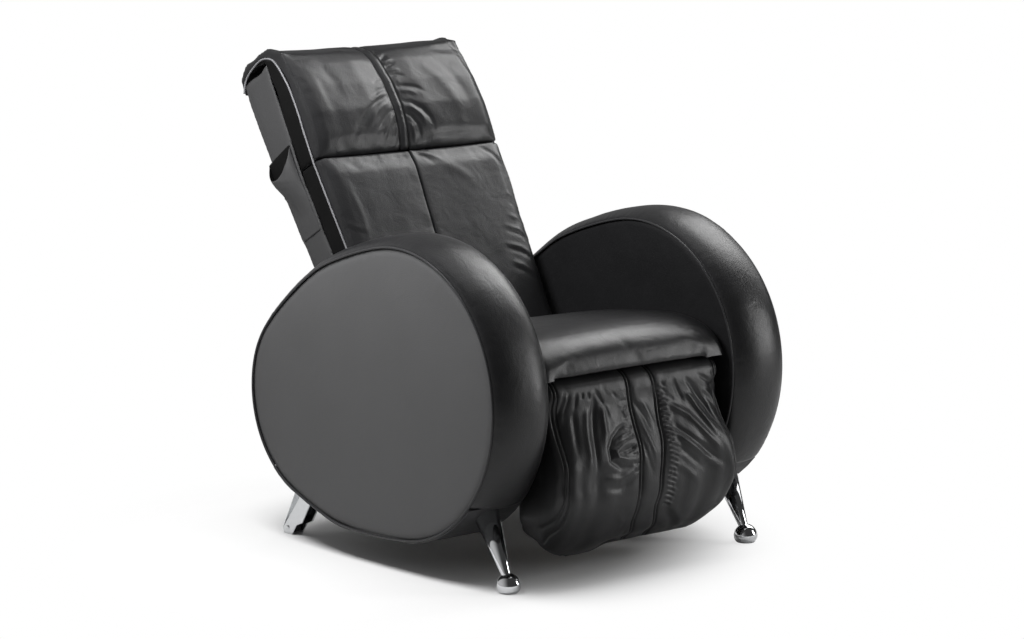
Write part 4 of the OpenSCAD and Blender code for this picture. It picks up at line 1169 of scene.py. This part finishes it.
blank = bmesh.new()
blank.from_mesh(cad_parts["back_shell"].data)
bmesh.ops.remove_doubles(blank, verts=blank.verts, dist=CAD_WELD)
blank = evened("shell_blank", blank, 0.0045)
shell = bmesh.new()
shell.from_mesh(blank.data)
bpy.data.objects.remove(blank)
for _ in range(4):
    smoothed(shell, shell.verts)
for vert in shell.verts:
    x, t, s = in_back(vert.co)
    vert.co = on_back(x, t, raised(t, s))
shell = linked("shell_cover", sewn(shell, shell_cover), lit_shell_leather)
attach(shell, "backrest")
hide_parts("back_shell")

# ------------------------------------------------------------- Back piping
# A welt follows both sides of the pads near their front. It is a strip of leather round a cord,
# sewn in with the seam, and curls over with the headrest. Its leather is painted light grey for the
# highlight along it.

highlight_welt = leather(
    "highlight_welt", (0.12, 0.12, 0.125, 1), (0.20, 0.20, 0.21, 1), 0.38, crease=0.0002)
# the seam's line on a side of the pads: rearward, then up the back
EDGE = [(-0.086, -0.020 + 0.065 * k) for k in range(7)] + [
    (-0.0865, 0.430), (-0.087, 0.473), (-0.087, 0.511), (-0.0885, 0.544), (-0.0865, 0.599),
    (-0.0805, 0.631), (-0.0725, 0.660), (-0.0610, 0.682), (-0.0430, 0.694), (-0.0240, 0.699),
    (-0.0040, 0.698), (0.0180, 0.694), (0.0360, 0.688), (0.0500, 0.678), (0.0600, 0.664)]


def curve_through(points, steps):
    """A smooth curve through points, as tuples with a last 0.0 for along_path."""
    curve = []
    for i in range(len(points) - 1):
        a, b = points[max(i - 1, 0)], points[i]
        c, d = points[i + 1], points[min(i + 2, len(points) - 1)]
        for k in range(steps):
            u = k / steps
            curve.append([
                0.5 * (2 * q + (r - p) * u + (2 * p - 5 * q + 4 * r - w) * u * u
                       + (3 * q - p - 3 * r + w) * u ** 3)
                for p, q, r, w in zip(a, b, c, d)])
    return [(t, s, 0.0) for t, s in curve + [points[-1]]]


path = along_path(curve_through(EDGE, 12), 260)
whole = bmesh.new()
for _, side in SIDES:
    stations = []
    for i, (t, s, _) in enumerate(path):
        before, after = path[max(i - 1, 0)], path[min(i + 1, len(path) - 1)]
        point = on_back(side * (half_width(min(s, SHELL_TOP)) + 0.0006), t, s)
        along = (on_back(0, *after[:2]) - on_back(0, *before[:2])).normalized()
        stations.append((point, Vector((1, 0, 0)), along.cross(Vector((1, 0, 0)))))
    joined(whole, cord_ring(stations, radius=0.0020, closed=False))
bmesh.ops.recalc_face_normals(whole, faces=whole.faces)
welts = linked("back_welts", whole, highlight_welt)
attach(welts, "backrest")
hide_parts("back_piping")

# ----------------------------------------------------------- Remote pocket
# A slack pouch of the plain leather is sewn to the right side of the shell for the remote control.
# Its outer wall sags open at the top, with a near-black bound edge; the inside of its wall is
# painted near-black for the shade within the pouch.


def pocket_wall(u, v):
    """u runs round the pouch: from its front edge over the outside, back along the shell. v runs
    up it."""
    turn = 2 * pi * u
    share = 0.5 - 0.5 * cos(turn)
    reach = max(sin(turn), 0.0) ** mixed(1.3, 0.8, eased(v, 0.2, 0.9))
    behind = max(-sin(turn), 0.0) ** 0.5
    brim = mixed(0.503, 0.494, share)
    top = mixed(brim, brim + 0.002, behind) if sin(turn) < 0 else brim - 0.052 * reach
    s = mixed(0.312, top, v)
    rear = shell_rear(s) - 0.011 + 0.016 * eased(s, 0.400, 0.470)
    t = mixed(-0.0295, rear, share)
    swell = 0.04 + 0.96 * eased(v, 0.30, 0.98)
    slack = ripple(t * 2, s, 0.0, 0.030) * 0.0006
    slack += ripple(s * 2.4 - t, 0.3, 0.0, 0.022) * 0.0012 * eased(v, 0.45, 0.9)
    out = 0.0006 + ((0.026 * swell + slack) if v >= 0.02 else 0.0015) * reach
    out -= 0.0030 * behind * (1 - eased(v, 0.35, 0.60))
    return on_back(-(half_width(s) + out), t, s)


pouch = bmesh.new()
bmesh.ops.create_grid(pouch, x_segments=64, y_segments=44, size=0.5)
for vert in pouch.verts:
    vert.co = pocket_wall(vert.co.x + 0.5, vert.co.y + 0.5)
bmesh.ops.remove_doubles(pouch, verts=pouch.verts, dist=WELD)
bottom = [
    edge for edge in pouch.edges if edge.is_boundary and in_back(edge.verts[0].co)[2] < 0.330]
bmesh.ops.holes_fill(pouch, edges=bottom, sides=0)
bmesh.ops.recalc_face_normals(pouch, faces=pouch.faces)
bmesh.ops.reverse_faces(pouch, faces=pouch.faces)
pouch = linked("pouch", pouch, lit_shell_leather)
pouch.data.materials.append(painted_shade_black.material)
# The Solidify puts the near-black on the inside of the wall, where it is painted shade, and on the
# bound edge.
wall = pouch.modifiers.new("wall", "SOLIDIFY")
wall.thickness, wall.offset, wall.material_offset, wall.material_offset_rim = 0.0010, -1, 1, 1
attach(pouch, "backrest")
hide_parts("remote_pocket")

# ----------------------------------------------------------- Base structure
# Under the upholstery are plywood arm carcasses and a plywood deck, on powder-coated tubes. The
# bolts, rods and shafts are ground steel.

plywood = Finish("birch_plywood", Specular_IOR_Level=0.4)
spot = plywood.where()
rings = plywood.node("TexWave", {"wave_type": "RINGS", "rings_direction": "Y"}, {
    "Vector": spot, "Scale": 14.0, "Distortion": 7.0, "Detail": 3.0, "Detail Scale": 1.2})
drawn = plywood.node("Mapping", {}, {"Vector": spot, "Scale": (1, 0.06, 1)})
fibre = plywood.noise(300.0, 5.0, 0.2, drawn)
plywood.feed(
    Base_Color=plywood.mixed(
        rings * 0.5 + fibre * 0.5, (0.62, 0.46, 0.28, 1), (0.80, 0.66, 0.46, 1)),
    Roughness=fibre * 0.20 + 0.50,
    Normal=plywood.bump(fibre, 0.0003, 0.5),
)
powder_coat = worn(
    "powder_coat", dark=(0.020, 0.020, 0.022, 1), light=(0.045, 0.045, 0.047, 1),
    broad=(12.0, 4.0), roughness=(0.15, 0.42), fine=(700.0, 2.0), relief=(0.00015, 0.7),
    Specular_IOR_Level=0.5)
black_plastic = worn(
    "black_plastic", dark=(0.022, 0.022, 0.023, 1), light=(0.040, 0.040, 0.042, 1),
    broad=(15.0, 4.0), roughness=(0.12, 0.46), fine=(900.0, 2.0), relief=(0.00012, 0.8),
    Specular_IOR_Level=0.5)
ground_steel = Finish("ground_steel", Metallic=1.0)
lathe = ground_steel.noise(500.0, 3.0, 0.0, ground_steel.node(
    "Mapping", {}, {"Vector": ground_steel.where(), "Scale": (0.1, 1, 1)}))
ground_steel.feed(
    Base_Color=ground_steel.mixed(lathe, (0.50, 0.51, 0.52, 1), (0.66, 0.67, 0.68, 1)),
    Roughness=lathe * 0.18 + 0.20,
    Normal=ground_steel.bump(lathe, 0.00004, 0.6),
)


def finished(finish, *names):
    """CAD nodes that keep their shape and take a finish."""
    for name in names:
        finish.coat(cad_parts[name])


finished(plywood, "right_arm_carcass", "left_arm_carcass", "seat_deck", "legrest_board")
finished(
    black_plastic, "right_arm_base_plate", "left_arm_base_plate", "control_box", "rear_cover",
    "power_inlet")
finished(
    powder_coat, "right_side_rail", "left_side_rail", "front_cross_tube", "middle_cross_tube",
    "rear_cross_tube", "recline_brackets", "legrest_brackets", "legrest_actuator",
    "recline_actuator", "legrest_frame", "back_side_bars", "back_cross_tubes",
    "recline_lever_plate", "carriage_frame")
finished(
    ground_steel, "arm_bolts", "legrest_push_rod", "recline_push_rod", "guide_rods", "lead_screw",
    "knead_shaft")

# ---------------------------------------------------------------- Controls
# The mains switch is a small red rocker, moulded in one colour. It tilts in the inlet's black
# frame.

rocker_red = worn(
    "rocker_red", dark=(0.42, 0.025, 0.020, 1), light=(0.55, 0.045, 0.035, 1),
    broad=(40.0, 3.0), roughness=(0.10, 0.28), fine=(800.0, 2.0), relief=(0.00004, 0.5),
    Specular_IOR_Level=0.5)
finished(rocker_red, "power_rocker")

# ------------------------------------------------------------ Massage unit
# Moulded ivory arms carry four rubber balls. Two gearmotors in black housings drive the screw and
# the kneading shaft.

ivory = worn(
    "ivory_plastic", dark=(0.62, 0.59, 0.52, 1), light=(0.70, 0.68, 0.62, 1),
    broad=(18.0, 3.0), roughness=(0.12, 0.30), fine=(700.0, 2.0), relief=(0.00005, 0.5),
    Specular_IOR_Level=0.5)
ball_rubber = worn(
    "ball_rubber", dark=(0.045, 0.040, 0.040, 1), light=(0.085, 0.078, 0.076, 1),
    broad=(55.0, 4.0), roughness=(0.20, 0.50), fine=(500.0, 2.0), relief=(0.0001, 0.6),
    Specular_IOR_Level=0.4)
finished(ivory, "right_massage_arm", "left_massage_arm")
finished(ball_rubber, "right_upper_ball", "right_lower_ball", "left_upper_ball", "left_lower_ball")
finished(black_plastic, "lift_gearmotor", "knead_gearmotor")

# ------------------------------------------------------------------ Studio
# A pale floor that runs out to white, soft boxes at the left, above, at the right and in front, and
# the camera.

floor_white = Finish(
    "floor_white", Base_Color=(0.80, 0.80, 0.80, 1), Roughness=0.9, Specular_IOR_Level=0.0)
camera_ray = floor_white.node("LightPath", output="Is Camera Ray")
glossy_ray = floor_white.node("LightPath", output="Is Glossy Ray")
diffuse_ray = floor_white.node("LightPath", output="Is Diffuse Ray")
apart = floor_white.node(
    "VectorMath", {"operation": "SUBTRACT"}, {0: floor_white.where(), 1: (-0.16, 0.02, 0)})
away = floor_white.node("VectorMath", {"operation": "LENGTH"}, {0: apart}, output="Value")
far = floor_white.node("MapRange", {"interpolation_type": "SMOOTHSTEP"}, {
    "Value": away, "From Min": 0.42, "From Max": 0.76, "To Min": 0.0, "To Max": 1.0})
glow = floor_white.node("Emission", {}, {"Color": (1, 1, 1, 1)})
shown = floor_white.node("MixShader", {}, {
    0: camera_ray * far, 1: Value(floor_white, floor_white.shader.outputs[0]), 2: glow})
dark = floor_white.node("BsdfDiffuse", {}, {"Color": (0.10, 0.10, 0.10, 1)})
shown = floor_white.node("MixShader", {}, {
    0: glossy_ray * 0.20 + diffuse_ray * 0.70, 1: shown, 2: dark})
floor_white.fill(floor_white.tree.nodes["Material Output"].inputs["Surface"], shown)
floor = bmesh.new()
bmesh.ops.create_grid(floor, x_segments=1, y_segments=1, size=12)
floor = linked("floor", floor, floor_white, smooth=False)

world = bpy.data.worlds.new("studio_white")
bpy.context.scene.world = world
world.use_nodes = True
room = Nodes(world.node_tree)
facing = room.node("VectorMath", {"operation": "DOT_PRODUCT"}, {
    0: room.node("TexCoord", output="Generated"), 1: (-0.571, 0.779, -0.26)}, output="Value")
rearward = room.node("MapRange", {"interpolation_type": "SMOOTHSTEP"}, {
    "Value": facing, "From Min": -0.35, "From Max": 0.90, "To Min": 0.04, "To Max": 0.50})
lit = room.node("Mix", {}, {
    "Factor": room.node("LightPath", output="Is Glossy Ray"), "A": 0.25, "B": rearward})
bright = room.node("Math", {"operation": "MAXIMUM"}, {
    0: lit, 1: room.node("LightPath", output="Is Camera Ray")})
sky = room.tree.nodes["Background"]
room.fill(sky.inputs["Color"], (1, 1, 1, 1))
room.fill(sky.inputs["Strength"], bright)


def softbox(name, spot, aim, width, height, power):
    """A rectangular soft box at a spot, turned to an aim."""
    lamp = bpy.data.lights.new(name, "AREA")
    lamp.shape, lamp.size, lamp.size_y, lamp.energy = "RECTANGLE", width, height, power
    box = bpy.data.objects.new(name, lamp)
    box.location = spot
    box.rotation_euler = (Vector(aim) - Vector(spot)).to_track_quat("-Z", "Y").to_euler()
    bpy.context.scene.collection.objects.link(box)
    return box


left_box = softbox("left_box", (-0.85, 0.05, 1.40), (-0.385, 0, 0.55), 0.9, 0.5, 24)
left_box.visible_glossy = False
softbox("key_box", (1.75, 0.05, 2.25), (0, -0.1, 0.45), 1.4, 1.4, 38)
softbox("top_box", (0.1, -0.1, 2.7), (0, -0.1, 0.3), 1.5, 1.5, 8)
softbox("right_box", (2.5, -0.2, 1.6), (0, -0.1, 0.4), 1.0, 1.0, 5)
softbox("strip_box", (2.1, -2.0, 0.9), (0.2, -0.3, 0.4), 0.6, 1.2, 22)

lens = bpy.data.cameras.new("camera")
lens.lens, lens.sensor_width = 116.0, 36.0
camera = bpy.data.objects.new("camera", lens)
bpy.context.scene.collection.objects.link(camera)
azimuth, elevation, distance = radians(-41.286), radians(9.355), 6.684
back = Vector((sin(azimuth) * cos(elevation), -cos(azimuth) * cos(elevation), sin(elevation)))
camera.location = Vector((0.0007, -0.080, 0.4478)) + back * distance
camera.rotation_euler = (-back).to_track_quat("-Z", "Y").to_euler()
bpy.context.scene.camera = camera
bpy.context.scene.view_settings.view_transform = "Standard"
